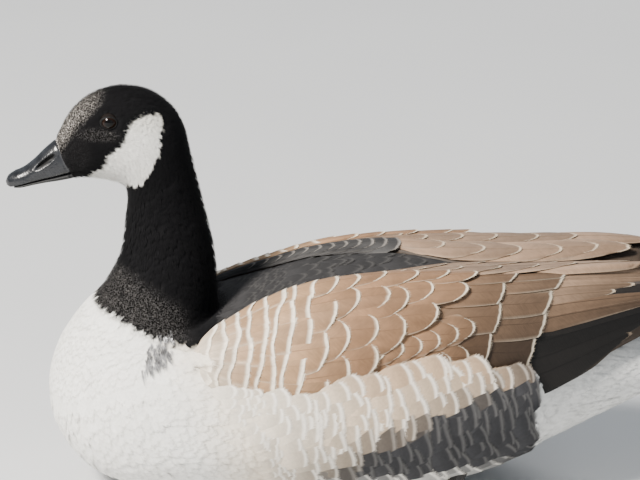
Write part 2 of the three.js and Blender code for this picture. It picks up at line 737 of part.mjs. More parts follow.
const colour = (r, g, b) => new THREE.Color().setRGB(r, g, b, THREE.SRGBColorSpace);
const MATERIALS = {
  black: new THREE.MeshStandardMaterial({ color: colour(0.05, 0.05, 0.055), roughness: 0.75 }),
  bill: new THREE.MeshStandardMaterial({ color: colour(0.1, 0.1, 0.11), roughness: 0.35 }),
  eye: new THREE.MeshStandardMaterial({ color: colour(0.06, 0.035, 0.02), roughness: 0.05 }),
  breast: new THREE.MeshStandardMaterial({ color: colour(0.82, 0.77, 0.68), roughness: 0.85 }),
  wing: new THREE.MeshStandardMaterial({ color: colour(0.5, 0.41, 0.32), roughness: 0.7 }),
  tail: new THREE.MeshStandardMaterial({ color: colour(0.09, 0.08, 0.075), roughness: 0.7 }),
  leg: new THREE.MeshStandardMaterial({ color: colour(0.11, 0.11, 0.105), roughness: 0.55 }),
};

const goose = new THREE.Group();

function add(name, solid, material) {
  const mesh = new THREE.Mesh(geometryOf(solid), MATERIALS[material]);
  mesh.name = name;
  goose.add(mesh);
}

const grownBody = flesh(NECK_START, LAST_CUT, FLESH_STEPS, GAP);
add("head", headSolid(), "black");
add("bill_upper", upperBill(), "bill");
add("bill_lower", lowerBill(), "bill");
add("neck", flesh(NECK_START, TORSO_START, FLESH_STEPS), "black");
add("torso", flesh(TORSO_START, LAST_CUT, FLESH_STEPS), "breast");
add("tail", tail(), "tail");
for (const [word, side] of [
  ["left", LEFT],
  ["right", RIGHT],
]) {
  add("eye_" + word, ballAt(eyeCentre(side), EYE.ball), "eye");
  add("wing_" + word, wing(side, grownBody), "wing");
  add("leg_" + word, leg(side, grownBody), "leg");
  add("foot_" + word, foot(side), "leg");
}

const box = new THREE.Box3().setFromObject(goose);
goose.position.set(-(box.min.x + box.max.x) / 2, -(box.min.y + box.max.y) / 2, -box.min.z);

export default goose;
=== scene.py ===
# %% [markdown]
# # A Canada goose at rest
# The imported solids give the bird's true size and place: torso, neck, head, bill, folded wings, tail and
# tucked feet. They are smooth and bare. This lesson dresses them: one skin under everything, a coat of
# small feathers that lie over one another, wing and tail feathers made one by one, and a horny bill.

# %% Load the solids
import math

import bpy
import numpy as np
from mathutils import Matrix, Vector


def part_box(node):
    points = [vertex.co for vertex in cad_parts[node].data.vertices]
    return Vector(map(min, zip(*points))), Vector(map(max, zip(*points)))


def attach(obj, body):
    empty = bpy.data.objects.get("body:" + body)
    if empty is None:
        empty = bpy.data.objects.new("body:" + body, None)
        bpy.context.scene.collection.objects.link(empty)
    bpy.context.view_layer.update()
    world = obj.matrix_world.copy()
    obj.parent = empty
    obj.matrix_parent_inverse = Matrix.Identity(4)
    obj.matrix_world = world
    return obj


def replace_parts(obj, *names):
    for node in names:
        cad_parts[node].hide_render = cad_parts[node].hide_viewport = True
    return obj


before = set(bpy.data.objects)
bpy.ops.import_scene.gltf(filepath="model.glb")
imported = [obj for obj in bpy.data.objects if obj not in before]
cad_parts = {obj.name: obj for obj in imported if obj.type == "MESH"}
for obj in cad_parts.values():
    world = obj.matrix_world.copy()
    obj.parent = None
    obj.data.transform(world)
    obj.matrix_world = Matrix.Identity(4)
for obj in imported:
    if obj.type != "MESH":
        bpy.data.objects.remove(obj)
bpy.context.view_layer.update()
MM = 0.001
TORSO_END = 526.8  # mm from the front of the breast to the torso's rear end
middle_x = TORSO_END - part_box("torso")[1][0] / MM
print("the frame's origin lies", round(middle_x, 1), "mm behind the front of the breast")

# %% [markdown]
# The bird is seen a little from above. The picture was taken square to its left side with a long lens, so
# lines hardly converge. A long lens far off gives the same flat view here. All sizes below are
# millimetres, with x measured back from the front of the breast and z up from the floor.

# %% Camera
VIEW_RAISED = math.radians(18.5)  # how far the camera looks down
PIXELS_PER_MM = 1.2
PICTURE = (640, 480)
BASE_LINE = 46.0  # z, in the bird's middle plane, that the picture shows at its height 425
BREAST_AT = (45.0, 425.0)  # the pixel of the front of the breast on that line
CAMERA_AWAY = 6.0
SENSOR = 36.0  # millimetres wide


def to_frame(points):
    """Millimetres from the breast to metres in the frame."""
    return (np.asarray(points, float) - (middle_x, 0.0, 0.0)) * MM


def in_scene(name, data):
    made = bpy.data.objects.new(name, data)
    bpy.context.scene.collection.objects.link(made)
    return made


def facing(way):
    """The turn that points a camera or a lamp this way."""
    return way.to_track_quat("-Z", "Y").to_euler()


centre_x = (PICTURE[0] / 2 - BREAST_AT[0]) / PIXELS_PER_MM
centre_z = BASE_LINE + (BREAST_AT[1] - PICTURE[1] / 2) / PIXELS_PER_MM / math.cos(VIEW_RAISED)
target = Vector(to_frame((centre_x, 0.0, centre_z)))
away = Vector((0.0, -math.cos(VIEW_RAISED), math.sin(VIEW_RAISED)))
camera_data = bpy.data.cameras.new("camera")
camera_data.sensor_width = SENSOR
camera_data.lens = SENSOR * CAMERA_AWAY * PIXELS_PER_MM / (PICTURE[0] * MM)
camera_data.clip_end = 100
camera = in_scene("camera", camera_data)
camera.location = target + away * CAMERA_AWAY
camera.rotation_euler = facing(-away)
bpy.context.scene.camera = camera
print("lens", round(camera_data.lens), "mm, looking at", [round(v, 3) for v in target])

# %% [markdown]
# The flesh is a row of cuts, from the bill's root over the crown, down the neck and back to the tail.
# Sculpting could give it too, but cuts that are read off the solids' own measures need no fitting, and
# they also give every feather a place: how far along the body it sits, and how far round.

# %% Flesh from cuts
# Each cut: its end on the back line (x, z), on the belly line (x, z), half width, where between belly and
# back it is widest, and how square it is.
HEAD_CUTS = [
    (9.2, 296.3, 25, 262.8, 13.6, 0.42, 2.1),
    (13, 307, 30, 262.4, 17, 0.44, 2.1),
    (20, 321, 37, 262.2, 21, 0.46, 2.1),
    (33, 334, 44, 262, 24, 0.47, 2.1),
    (50, 341.8, 52, 261.4, 26, 0.48, 2.15),
    (69, 344.4, 60, 259.6, 27.5, 0.48, 2.15),
    (90, 339.5, 66, 256.6, 28.5, 0.48, 2.1),
    (107, 326.5, 68, 252.5, 28.5, 0.49, 2.05),
    (116.5, 310.5, 68.4, 248, 28, 0.5, 2),
    (120.8, 294, 68.4, 242.5, 27.5, 0.5, 2),
]
NECK_CUTS = [
    (124.6, 276.5, 67.8, 235, 27, 0.5, 2),
    (129.5, 254, 66.6, 225, 27.5, 0.5, 2),
    (135, 232, 65.2, 213, 29.5, 0.5, 2),
    (140, 210, 62.6, 199, 33, 0.5, 2),
    (143, 190, 55.5, 183, 39, 0.5, 2),
    (144.2, 173, 45, 166, 47, 0.5, 2),
]
TORSO_CUTS = [
    (145, 160, 32, 152.6, 57, 0.5, 2),
    (147, 153, 19, 136, 68, 0.5, 2),
    (153, 156, 7, 114, 81, 0.5, 2),
    (161, 161, 0.5, 84, 92, 0.49, 2.05),
    (172, 167.5, 9, 47, 101, 0.47, 2.1),
    (187, 174, 38, 14, 107, 0.45, 2.15),
    (206, 180, 85, 0, 112, 0.43, 2.2),
    (230, 186, 140, -3, 115, 0.42, 2.2),
    (262, 189.5, 200, -3.5, 115, 0.41, 2.2),
    (300, 190, 260, -3.5, 111, 0.4, 2.2),
    (340, 186, 315, 0, 103, 0.4, 2.2),
    (378, 177, 362, 12, 93, 0.41, 2.2),
    (406, 168, 398, 27, 83, 0.42, 2.15),
    (424, 162, 420, 38, 70, 0.44, 2.1),
    (455, 151, 452, 54, 57, 0.46, 2.1),
    (492, 138, 492, 74, 45, 0.48, 2.1),
    (526, 127, 527, 93, 36, 0.5, 2.1),
]
TAIL_ROOT_CUT = (562, 121.5, 562, 105, 32, 0.5, 2.1)  # feathers alone reach this far
CUTS = np.array(HEAD_CUTS + NECK_CUTS + TORSO_CUTS + [TAIL_ROOT_CUT], float)
COAT_END = len(CUTS) - 1
LAST_CUT = COAT_END - 1
FLOOR_CLEAR = 0.05
SMALL = 0.02  # a step along or round the body, to measure its slopes by


def curve_through(xs, ys):
    """A smooth curve y(x) through its points."""
    xs = np.asarray(xs, float)
    ys = np.asarray(ys, float)
    before = np.maximum(np.arange(len(xs)) - 1, 0)
    after = np.minimum(np.arange(len(xs)) + 1, len(xs) - 1)
    slopes = (ys[after] - ys[before]) / (xs[after] - xs[before])

    def curve(x):
        x = np.asarray(x, float)
        i = np.clip(np.searchsorted(xs, x) - 1, 0, len(xs) - 2)
        step = xs[i + 1] - xs[i]
        t = np.clip((x - xs[i]) / step, 0, 1)
        start = ys[i] * (2 * t**3 - 3 * t**2 + 1) + slopes[i] * step * (t**3 - 2 * t**2 + t)
        end = ys[i + 1] * (3 * t**2 - 2 * t**3) + slopes[i + 1] * step * (t**3 - t**2)
        return start + end

    return curve


def power(value, share):
    return np.sign(value) * np.abs(value) ** share


cut_curves = [curve_through(np.arange(len(CUTS)), CUTS[:, k]) for k in range(7)]
COAT_DEPTH = curve_through(
    [0, 1, 2, 4, 9, 15, 18, 26, COAT_END],
    [1.1, 2.8, 3.2, 2.0, 1.7, 2.4, 3.4, 3.6, 3],
)


def flesh_point(along, angle, inset=0.0):
    """A point of the flesh: how far along the cuts, and the angle round, with the back at 90 degrees."""
    back_x, back_z, belly_x, belly_z, half, wide, square = (curve(along) for curve in cut_curves)
    reach = np.hypot(back_x - belly_x, back_z - belly_z)
    up_x = (back_x - belly_x) / reach
    up_z = (back_z - belly_z) / reach
    s = power(np.sin(angle), 2 / square)
    t = np.where(s > 0, wide + (1 - wide) * s, wide + wide * s) * (reach - 2 * inset) + inset
    y = (half - inset) * power(np.cos(angle), 2 / square)
    z = np.maximum(belly_z + up_z * t, FLOOR_CLEAR + 0.5 * np.maximum(inset, 0))
    return np.stack(np.broadcast_arrays(belly_x + up_x * t, y, z), axis=-1)


def unit(vectors):
    return vectors / np.maximum(np.linalg.norm(vectors, axis=-1, keepdims=True), 1e-9)


print(len(CUTS), "cuts; widest", 2 * CUTS[:, 4].max(), "mm")

# %% [markdown]
# Markings come before any feather, because skin and coat share them. The black head and neck end in a
# line round the base of the neck, and a white patch runs under the chin from cheek to cheek. Painting by
# hand is one way. Here each marking is a short outline in the side view, which both sides of the bird
# use, so the patch also joins up across the throat.

# %% Markings
CHEEK_PATCH = [
    (93.3, 259.6), (98.2, 256.1), (97.2, 240), (95.8, 225.8), (90.8, 218.7), (87.5, 209.3),
    (80, 201.5), (72.5, 199.5), (58, 199.5), (40, 200), (35.5, 205.8), (49, 214.2), (52.5, 223.3),
    (61.7, 230.3), (66.7, 237.5), (70, 249.2), (77.1, 256.1), (86.4, 259.2),
]
# Pale specks in the black, on the brow, lores, under the eye and low on the neck, are painted glints of
# light.
GLINT_BROW = [
    (6, 222), (14, 225), (17.3, 230.4), (28.8, 247), (39, 257.2),
    (48, 268), (51, 277), (48, 292), (0, 292), (0, 222),
]
GLINTS_UNDER_EYE = (44, 240, 21, 6.5)  # middle x and height, half length and half height
GLINTS_ON_LORES = (26, 222, 15, 20)
STRANDS = (94, 57, 10, 23)  # where dark barbs spill over the white below the neck
NECK_BLACK_ENDS = curve_through(
    [40, 46.7, 63.8, 77.5, 94.2, 111.5, 128.3, 140, 150],
    [114, 101, 91.7, 83.3, 74.6, 69.5, 67.8, 79.7, 100],
)
CREST_SIDE = curve_through([128, 140, 155, 185, 225, 340, 440, 515], [74, 69, 62, 52, 48, 50, 46, 32])
BLACK = (0.006, 0.006, 0.0068)
# The grey that the painted glints mix into the black.
GLINT_GREY = (0.16, 0.149, 0.138)
WHITE = (0.86, 0.85, 0.81)
# The top of the white cheek patch turns grey: painted shade.
PATCH_TOP_SHADE = (0.7, 0.68, 0.62)
CREAM = (0.84, 0.75, 0.62)
SHOULDER_TAN = (0.62, 0.44, 0.29)
FLANK_TAN = (0.66, 0.48, 0.32)
# Dark grey of the flank's rear and underside: partly its own grey, partly painted shade.
FLANK_GREY_AND_SHADE = (0.058, 0.058, 0.062)
# Dark back between the wings: its own dark grey-brown, made darker by painted shadow of the neck.
MANTLE_DARK_AND_SHADOW = (0.034, 0.033, 0.034)
UNDERTAIL = (0.74, 0.74, 0.72)
RUMP_BLACK = (0.02, 0.018, 0.016)


def smooth(low, high, value):
    t = np.clip((value - low) / (high - low), 0, 1)
    return t * t * (3 - 2 * t)


def mix(first, second, share):
    share = np.asarray(share)[..., None]
    return np.asarray(first) * (1 - share) + np.asarray(second) * share


def seen_from_side(points):
    """x, and the height as the camera sees it above the base line, for either side of the bird."""
    raised = (points[..., 2] - BASE_LINE) * math.cos(VIEW_RAISED)
    return points[..., 0], raised - np.abs(points[..., 1]) * math.sin(VIEW_RAISED)


def ripple(points, size, seed):
    """A smooth, seeded unevenness from -1 to 1, with humps about this size in millimetres."""
    draw = np.random.default_rng(seed)
    total = np.zeros(points.shape[:-1])
    for _ in range(6):
        way = unit(draw.normal(size=3)) / size * draw.uniform(0.7, 1.5)
        total += np.sin(points @ way * 2 * np.pi + draw.uniform(0, 2 * np.pi))
    return total / 3


def inside_outline(outline, x, y):
    """Signed distance to a closed outline, positive inside."""
    outline = np.asarray(outline, float)
    inside = np.zeros(x.shape, bool)
    nearest = np.full(x.shape, 1e9)
    for (ax, ay), (bx, by) in zip(outline, np.roll(outline, -1, axis=0)):
        crosses = (ay > y) != (by > y)
        run = bx - ax
        rise = by - ay
        inside ^= crosses & (x < ax + (y - ay) * run / (rise if rise != 0 else 1e-9))
        t = np.clip(((x - ax) * run + (y - ay) * rise) / (run**2 + rise**2), 0, 1)
        nearest = np.minimum(nearest, np.hypot(x - ax - run * t, y - ay - rise * t))
    return np.where(inside, nearest, -nearest)


def painted_glints(points):
    """Where painted glints lie as fine pale specks in the black: brow, lores, under the eye and low on the
    neck.
    """
    x, up = seen_from_side(points)
    share = smooth(-3.0, 9.0, inside_outline(GLINT_BROW, x, up)) * (1 - 0.92 * smooth(250, 288, up))
    for (at_x, at_up, half_long, half_high), strength in ((GLINTS_UNDER_EYE, 0.1), (GLINTS_ON_LORES, 0.03)):
        far = np.hypot((x - at_x) / half_long, (up - at_up) / half_high)
        share = np.maximum(share, strength * smooth(1.2, 0.5, far))
    above = up - NECK_BLACK_ENDS(x)
    low_neck_glints = smooth(58, 38, above + 0.2 * (x - 40)) * smooth(0, 4, above) * smooth(132, 104, x)
    return np.maximum(share, 0.13 * low_neck_glints)


def plumage(points, shade=0.0):
    """The colour of the skin and of the feathers that root at these points, mm from the breast.

    shade, from -1 to 1, is each feather's own unevenness: it moves the borders a little as well."""
    x, up = seen_from_side(points)
    z = points[..., 2]
    side = np.abs(points[..., 1])
    body = mix(WHITE, CREAM, smooth(88, 150, x + 0.25 * (up - 40)))
    body = mix(body, FLANK_TAN, 0.75 * smooth(150, 260, x) * smooth(95, 40, z - 60))
    body = mix(body, SHOULDER_TAN, smooth(138, 176, x) * smooth(100, 112, z) * smooth(118, 130, x))
    # Behind a slanting line the flank turns dark grey, partly its own colour and partly painted shade.
    grey_and_shade_from = 380 - 2.1 * (41 - up)
    body = mix(body, FLANK_GREY_AND_SHADE, smooth(grey_and_shade_from - 28, grey_and_shade_from + 32, x + 10 * shade))
    body = mix(body, WHITE, smooth(30, 8, z) * smooth(420, 300, x))
    crest = CREST_SIDE(x)
    # The back between the wing crests: dark, partly painted shadow of the neck.
    back = smooth(128, 142, z - 0.05 * (x - 150) + 6 * shade) * smooth(118, 140, x)
    body = mix(body, MANTLE_DARK_AND_SHADOW, back * smooth(crest + 6, crest, side))
    rear = smooth(394, 401, x + 3 * shade)
    body = mix(body, UNDERTAIL, rear)
    body = mix(body, RUMP_BLACK, smooth(140, 150, z) * rear * smooth(505, 470, x))
    border = NECK_BLACK_ENDS(x) + 1.6 * ripple(points, 9, 3) + 1.3 * shade
    black = smooth(-0.6, 0.6, up - border) * (x < 152)
    colour = mix(body, BLACK, black)
    # Painted glints: grey mixed into the black where the specks lie.
    colour = mix(colour, GLINT_GREY, painted_glints(points) * (0.75 + 0.25 * shade))
    patch = inside_outline(CHEEK_PATCH, x, up) + 0.8 * ripple(points, 6, 8) + 0.6 * shade
    # The cheek patch greys towards its top: painted shade.
    return mix(colour, mix(WHITE, PATCH_TOP_SHADE, smooth(235, 262, up)), smooth(-0.4, 0.4, patch))


print("markings set; the cheek patch has", len(CHEEK_PATCH), "corners")

# %% [markdown]
# A material is a set of nodes that lead to one shader. Laid one by one, even a plain one takes many lines.
# Here a small class lays the usual nodes and joins them: a value kept on each vertex, noise, a change of
# range, a ramp of two colours and a bump. Each finish below is then a few lines long.

# %% Laying material nodes


class Finish:
    """A material and the nodes that lead to its shader."""

    def __init__(self, name, roughness):
        self.material = bpy.data.materials.new(name)
        self.material.use_nodes = True
        self.nodes = self.material.node_tree.nodes
        self.links = self.material.node_tree.links
        self.shader = self.nodes["Principled BSDF"]
        self.set("Roughness", roughness)

    def set(self, name, value):
        self.shader.inputs[name].default_value = value

    def drive(self, name, socket):
        self.links.new(socket, self.shader.inputs[name])

    def node(self, kind, vector=None, **numbers):
        """A node with these numbers on its inputs: To_Min=2 sets the input To Min."""
        made = self.nodes.new("ShaderNode" + kind)
        for name, number in numbers.items():
            made.inputs[name.replace("_", " ")].default_value = number
        if vector is not None:
            self.links.new(vector, made.inputs["Vector"])
        return made

    def kept(self, name, output="Fac"):
        """A value that the mesh keeps on each vertex."""
        attribute = self.node("Attribute")
        attribute.attribute_name = name
        return attribute.outputs[output]

    def place(self):
        return self.node("TexCoord").outputs["Object"]

    def noise(self, size, detail):
        return self.node("TexNoise", self.place(), Scale=size, Detail=detail).outputs["Fac"]

    def ranged(self, value, low, high, from_low=0.0, from_high=1.0):
        """value, stretched so that from_low gives low and from_high gives high."""
        spread = self.node("MapRange", From_Min=from_low, From_Max=from_high, To_Min=low, To_Max=high)
        self.links.new(value, spread.inputs["Value"])
        return spread.outputs["Result"]

    def reckon(self, operation, first, second, third=0.0):
        sums = self.node("Math")
        sums.operation = operation
        self.links.new(first, sums.inputs[0])
        self.links.new(second, sums.inputs[1])
        sums.inputs[2].default_value = third
        return sums.outputs["Value"]

    def ramp(self, value, dark, light, low=0.0, high=1.0):
        """Two colours that run into each other between low and high."""
        colours = self.node("ValToRGB")
        for stop, at, colour in zip(colours.color_ramp.elements, (low, high), (dark, light)):
            stop.position = at
            stop.color = (*colour, 1)
        self.links.new(value, colours.inputs["Fac"])
        self.drive("Base Color", colours.outputs["Color"])

    def scale_colour(self, factor):
        """Multiplies what already colours the surface."""
        scaled = self.node("VectorMath")
        scaled.operation = "SCALE"
        self.links.new(self.shader.inputs["Base Color"].links[0].from_socket, scaled.inputs[0])
        self.links.new(factor, scaled.inputs["Scale"])
        self.drive("Base Color", scaled.outputs["Vector"])

    def tinted(self, strength, size):
        """Colour from the vertices' tint, made lighter and darker by noise."""
        self.drive("Base Color", self.kept("tint", "Color"))
        self.scale_colour(self.ranged(self.noise(size, 3), 1 - strength, 1 + strength))

    def bump(self, height, strength, distance):
        bumps = self.node("Bump", Strength=strength, Distance=distance)
        self.links.new(height, bumps.inputs["Height"])
        self.drive("Normal", bumps.outputs["Normal"])


print("node helpers are ready")

# %% [markdown]
# Feathers scatter light softly and shine a little along their barbs. One material serves the whole coat:
# its colour comes from a tint kept on each vertex, broken up by fine noise, and a faint sheen lifts the
# edges. Where the vertices say so it has pale and dark specks as well; the pale ones are painted glints of
# light on the black feathers. Wing and tail feathers have the slanted lines of their barbs. A picture painted
# for each would do too, but noise needs none.

# %% Feather materials


def coat_material():
    finish = Finish("coat", 0.8)
    finish.tinted(0.2, 420)
    # Where the glint share says so, noise makes pale and dark specks; the pale ones are painted glints.
    specks = finish.ranged(finish.noise(900, 1), -0.95, 3.2, 0.46, 0.64)
    finish.scale_colour(finish.reckon("MULTIPLY_ADD", specks, finish.kept("glint_share"), 1.0))
    finish.set("Sheen Weight", 0.02)
    finish.set("Sheen Roughness", 0.45)
    finish.set("Specular IOR Level", 0.07)
    return finish.material


def vane_material():
    finish = Finish("vane", 0.55)
    finish.tinted(0.2, 160)
    lines = finish.node("TexNoise", finish.kept("barb", "Vector"), Scale=1.0, Detail=4).outputs["Fac"]
    finish.bump(lines, 0.4, 0.0006)
    finish.scale_colour(finish.ranged(lines, 0.84, 1.1, 0.3, 0.7))
    finish.set("Sheen Weight", 0.03)
    finish.set("Specular IOR Level", 0.22)
    return finish.material


COAT = coat_material()
VANE = vane_material()
print("feather materials:", COAT.name, "and", VANE.name)

# %% [markdown]
# Bill, legs and lids are bare: horn or scaly skin. They have two close colours, an uneven gloss and a fine
# bump. The bill also darkens where its tint does, which paints shade into the nostrils, so that they look
# deep, and over the lower half under the upper one. Three materials could be laid one by one, but they
# differ only in their numbers, so one function makes them all.

# %% Horn and skin


def horn_material(name, dark, light, roughness, size, shaded=False):
    """A shaded one is as dark as its vertices' tint says, and duller there."""
    finish = Finish(name, roughness)
    noise = finish.noise(size, 5)
    finish.ramp(noise, dark, light, 0.35, 0.7)
    gloss = finish.ranged(noise, roughness - 0.08, roughness + 0.12)
    if shaded:
        shade = finish.kept("tint")
        finish.scale_colour(shade)
        gloss = finish.reckon("ADD", gloss, finish.ranged(shade, 0.7, 0.0))
    finish.drive("Roughness", gloss)
    grain = finish.node("TexVoronoi", finish.place(), Scale=size * 5)
    finish.bump(grain.outputs["Distance"], 0.25, 0.0004)
    return finish.material


BILL_HORN = horn_material("bill_horn", (0.006, 0.0065, 0.008), (0.016, 0.0175, 0.021), 0.24, 130, shaded=True)
LEG_SKIN = horn_material("leg_skin", (0.012, 0.011, 0.01), (0.035, 0.033, 0.03), 0.5, 260)
LID_SKIN = horn_material("lid_skin", (0.004, 0.004, 0.004), (0.01, 0.01, 0.01), 0.6, 500)
LID_SKIN.node_tree.nodes["Principled BSDF"].inputs["Specular IOR Level"].default_value = 0.15
print("bare materials:", ", ".join(m.name for m in (BILL_HORN, LEG_SKIN, LID_SKIN)))

# %% [markdown]
# Thousands of feathers can't be objects of their own: they are written into a few large meshes straight
# from arrays. Every vertex keeps its tint, and a UV map lays each small feather as a tiny patch at its
# root's place on the unwrapped body, so that a baked picture of the coat gives it the right colour.

# %% Building meshes from arrays
PATCH = 0.003  # how much of the unwrapped body one small feather's patch takes
UNWRAP_EDGE = 0.004
UNWRAP = 1 - 2 * UNWRAP_EDGE


def unwrapped(along, angle):
    """Where a place of the body lies on its unwrap."""
    return UNWRAP_EDGE + UNWRAP * np.stack([np.mod(angle / (2 * np.pi), 1), along / COAT_END], -1)


def build(name, points, faces, uv, tint, material, barb=None, glint_share=None):
    """A mesh object from points in mm, with per-vertex UV, tint, barb and glint share, which says where the
    painted glints lie. The faintest specks have the full contrast too."""
    mesh = bpy.data.meshes.new(name)
    points = np.reshape(points, (-1, 3))
    mesh.vertices.add(len(points))
    mesh.vertices.foreach_set("co", to_frame(points).astype(np.float32).ravel())
    mesh.loops.add(faces.size)
    mesh.loops.foreach_set("vertex_index", faces.astype(np.int32).ravel())
    mesh.polygons.add(len(faces))
    mesh.polygons.foreach_set("loop_start", np.arange(0, faces.size, faces.shape[1], dtype=np.int32))
    mesh.polygons.foreach_set("use_smooth", np.ones(len(faces), bool))
    layer = mesh.uv_layers.new(name="OFBake")
    loop_uv = np.reshape(uv, (-1, 2)).astype(np.float32)[faces]
    across_seam = (loop_uv[..., 0].max(axis=1) - loop_uv[..., 0].min(axis=1)) > 0.5
    loop_uv[..., 0] += UNWRAP * (across_seam[:, None] & (loop_uv[..., 0] < 0.5))
    layer.data.foreach_set("uv", loop_uv.ravel())
    colours = np.ones((len(points), 4), np.float32)
    colours[:, :3] = np.clip(np.reshape(tint, (-1, 3)), 0, 1)
    mesh.color_attributes.new("tint", "FLOAT_COLOR", "POINT").data.foreach_set("color", colours.ravel())
    if barb is not None:
        attribute = mesh.attributes.new("barb", "FLOAT_VECTOR", "POINT")
        attribute.data.foreach_set("vector", np.asarray(barb, np.float32).ravel())
    if glint_share is not None:
        attribute = mesh.attributes.new("glint_share", "FLOAT", "POINT")
        attribute.data.foreach_set("value", smooth(0, 0.1, glint_share).astype(np.float32))
    mesh.materials.append(material)
    mesh.update()
    mesh.validate()
    piece = in_scene(name, mesh)
    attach(piece, "root")
    return piece


def ring_grid(steps, around):
    """Every step along with every angle of a full turn."""
    return np.meshgrid(steps, np.arange(around) * 2 * np.pi / around, indexing="ij")


def grid_faces(rows, columns, closed=False, capped=False):
    """Triangles over a grid of points. closed joins the columns in a ring, capped closes the ends too."""
    across = columns if closed else columns - 1
    r, c = np.meshgrid(np.arange(rows - 1), np.arange(across), indexing="ij")
    a = (r * columns + c).ravel()
    b = (r * columns + (c + 1) % columns).ravel()
    faces = [np.stack([a, b, b + columns], -1), np.stack([a, b + columns, a + columns], -1)]
    ends = (0, (rows - 1) * columns) if capped else ()
    for first in ends:
        here = first + np.arange(1, columns - 1)
        faces.append(np.stack([np.full_like(here, first), here, here + 1], -1))
    return np.vstack(faces)


print("a small feather's patch is", PATCH, "of the unwrapped body")

# %% [markdown]
# The skin is one closed, seamless surface from the bill's root to the tail's. It lies inside the solids
# by the depth of the coat, so feathers can grow out to the true outline. It also shows where feathers
# part, so it carries the same markings, a little darker.

# %% Skin
SKIN_RINGS = 330
SKIN_AROUND = 132
SKIN_SHADE = 0.8


def skin():
    along, angle = ring_grid(np.linspace(0, LAST_CUT, SKIN_RINGS), SKIN_AROUND)
    points = flesh_point(along, angle, COAT_DEPTH(along)).reshape(-1, 3)
    faces = grid_faces(SKIN_RINGS, SKIN_AROUND, closed=True, capped=True)
    tint = SKIN_SHADE * plumage(points)
    uv = unwrapped(along, angle)
    return build("skin", points, faces, uv, tint, COAT, glint_share=painted_glints(points))


body_skin = skin()
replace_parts(body_skin, "head", "neck", "torso")
print("skin of", len(body_skin.data.vertices), "points")

# %% [markdown]
# The wings decide where small feathers end: under a folded wing there are none to see. Each wing is a
# curved shell between its crest along the back and its lower edge on the flank. A point on it is given by
# x and by the share of the way up from edge to crest.

# %% Wing surface
# x, inner edge (y, z), crest (y, z), lower edge (y, z), thickness, and how round the side is.
WING_CUTS = np.array([
    (128, 72, 141.5, 74, 142, 92, 124, 8, 1),
    (140, 66, 151, 69, 152, 101, 116, 12, 1),
    (155, 58, 159.5, 62, 160.5, 105, 108, 16, 1),
    (185, 47, 172.5, 52, 174, 109, 98, 20, 1),
    (225, 42, 185, 48, 187, 111, 92, 22, 1),
    (280, 38, 190.5, 48.5, 194.5, 103.5, 95, 22, 1),
    (340, 8, 189.5, 50.5, 196.5, 90.5, 98, 20, 1),
    (400, 5, 188, 48.5, 197, 78.5, 98, 17, 1),
    (440, 6, 187, 46, 198.5, 68.5, 113, 13, 0.9),
    (475, 10, 187, 41, 198.5, 56, 130, 8, 0.6),
    (515, 13, 184, 32, 195, 41.5, 147, 5, 0.25),
    (555, 11, 177.5, 21.5, 187, 27.5, 163, 4, 0),
    (590, 8, 173.5, 12, 178, 15, 173, 3, 0),
])
wing_curves = [curve_through(WING_CUTS[:, 0], WING_CUTS[:, k]) for k in range(1, 9)]
CREST_Y = wing_curves[2]
CREST_Z = wing_curves[3]
WING_THICK = wing_curves[6]
WING_FRONT = WING_CUTS[0, 0]
WING_TIP = WING_CUTS[-1, 0]
WING_HIDES_TO = 560  # behind this the wing covers no small feathers


def wing_point(x, share, inset=0.0):
    """A point of the wing, mirrored to positive y. share runs from the low edge, 0, over the crest, 1,
    to the inner edge over the back, 2."""
    inner_y, inner_z, crest_y, crest_z, edge_y, edge_z, _, roundness = (curve(x) for curve in wing_curves)
    turn = np.minimum(share, 1) * np.pi / 2
    out = (1 - np.minimum(share, 1)) * (1 - roundness) + np.cos(turn) * roundness
    up = np.minimum(share, 1) * (1 - roundness) + np.sin(turn) * roundness
    over = np.maximum(share - 1, 0)
    y = crest_y + (edge_y - crest_y - inset) * out + (inner_y - crest_y) * over
    z = edge_z + (crest_z - edge_z - inset) * up + (inner_z - crest_z) * over**2
    return np.stack(np.broadcast_arrays(x, y, z), axis=-1)


def wing_out(x, share):
    """The way out of the wing's surface."""
    along = wing_point(x + 1, share) - wing_point(x - 1, share)
    up = wing_point(x, share + 0.01) - wing_point(x, share - 0.01)
    out = unit(np.cross(along, up))
    return out * np.where(out[..., 1:2] + out[..., 2:] < 0, -1, 1)


def share_at(x, z):
    """How far up the wing its surface has this height."""
    low = np.zeros(np.broadcast(x, z).shape)
    high = np.ones_like(low)
    for _ in range(16):
        middle = (low + high) / 2
        below = wing_point(x, middle)[..., 2] < z
        low = np.where(below, middle, low)
        high = np.where(below, high, middle)
    return (low + high) / 2


def wing_side(points):
    """For points of the body: whether they are level with the wing, and how far out its surface lies."""
    x = points[..., 0]
    share = share_at(x, points[..., 2])
    level = (x > WING_FRONT + 4) & (x < WING_HIDES_TO) & (share > 0.01) & (share < 0.995)
    return level, wing_point(x, share)[..., 1]


def onto_wing(points, clear):
    """Lifts points that lie level with the wing out to its surface and this much further. They rise
    to it gently from in front and from below."""
    x = points[..., 0]
    z = points[..., 2]
    low_z = wing_point(x, 0.0)[..., 2]
    share = smooth(WING_FRONT - 26, WING_FRONT + 4, x) * smooth(WING_HIDES_TO, WING_HIDES_TO - 15, x)
    share = share * smooth(low_z - 12, low_z, z) * smooth(CREST_Z(x) + 5, CREST_Z(x) - 1, z)
    wing_y = wing_point(x, share_at(x, z))[..., 1] + clear
    side = np.abs(points[..., 1])
    lifted = points.copy()
    lifted[..., 1] = np.sign(points[..., 1]) * (side + share * np.maximum(wing_y - side, 0))
    return lifted


print("wings span x", WING_FRONT, "to", WING_TIP)

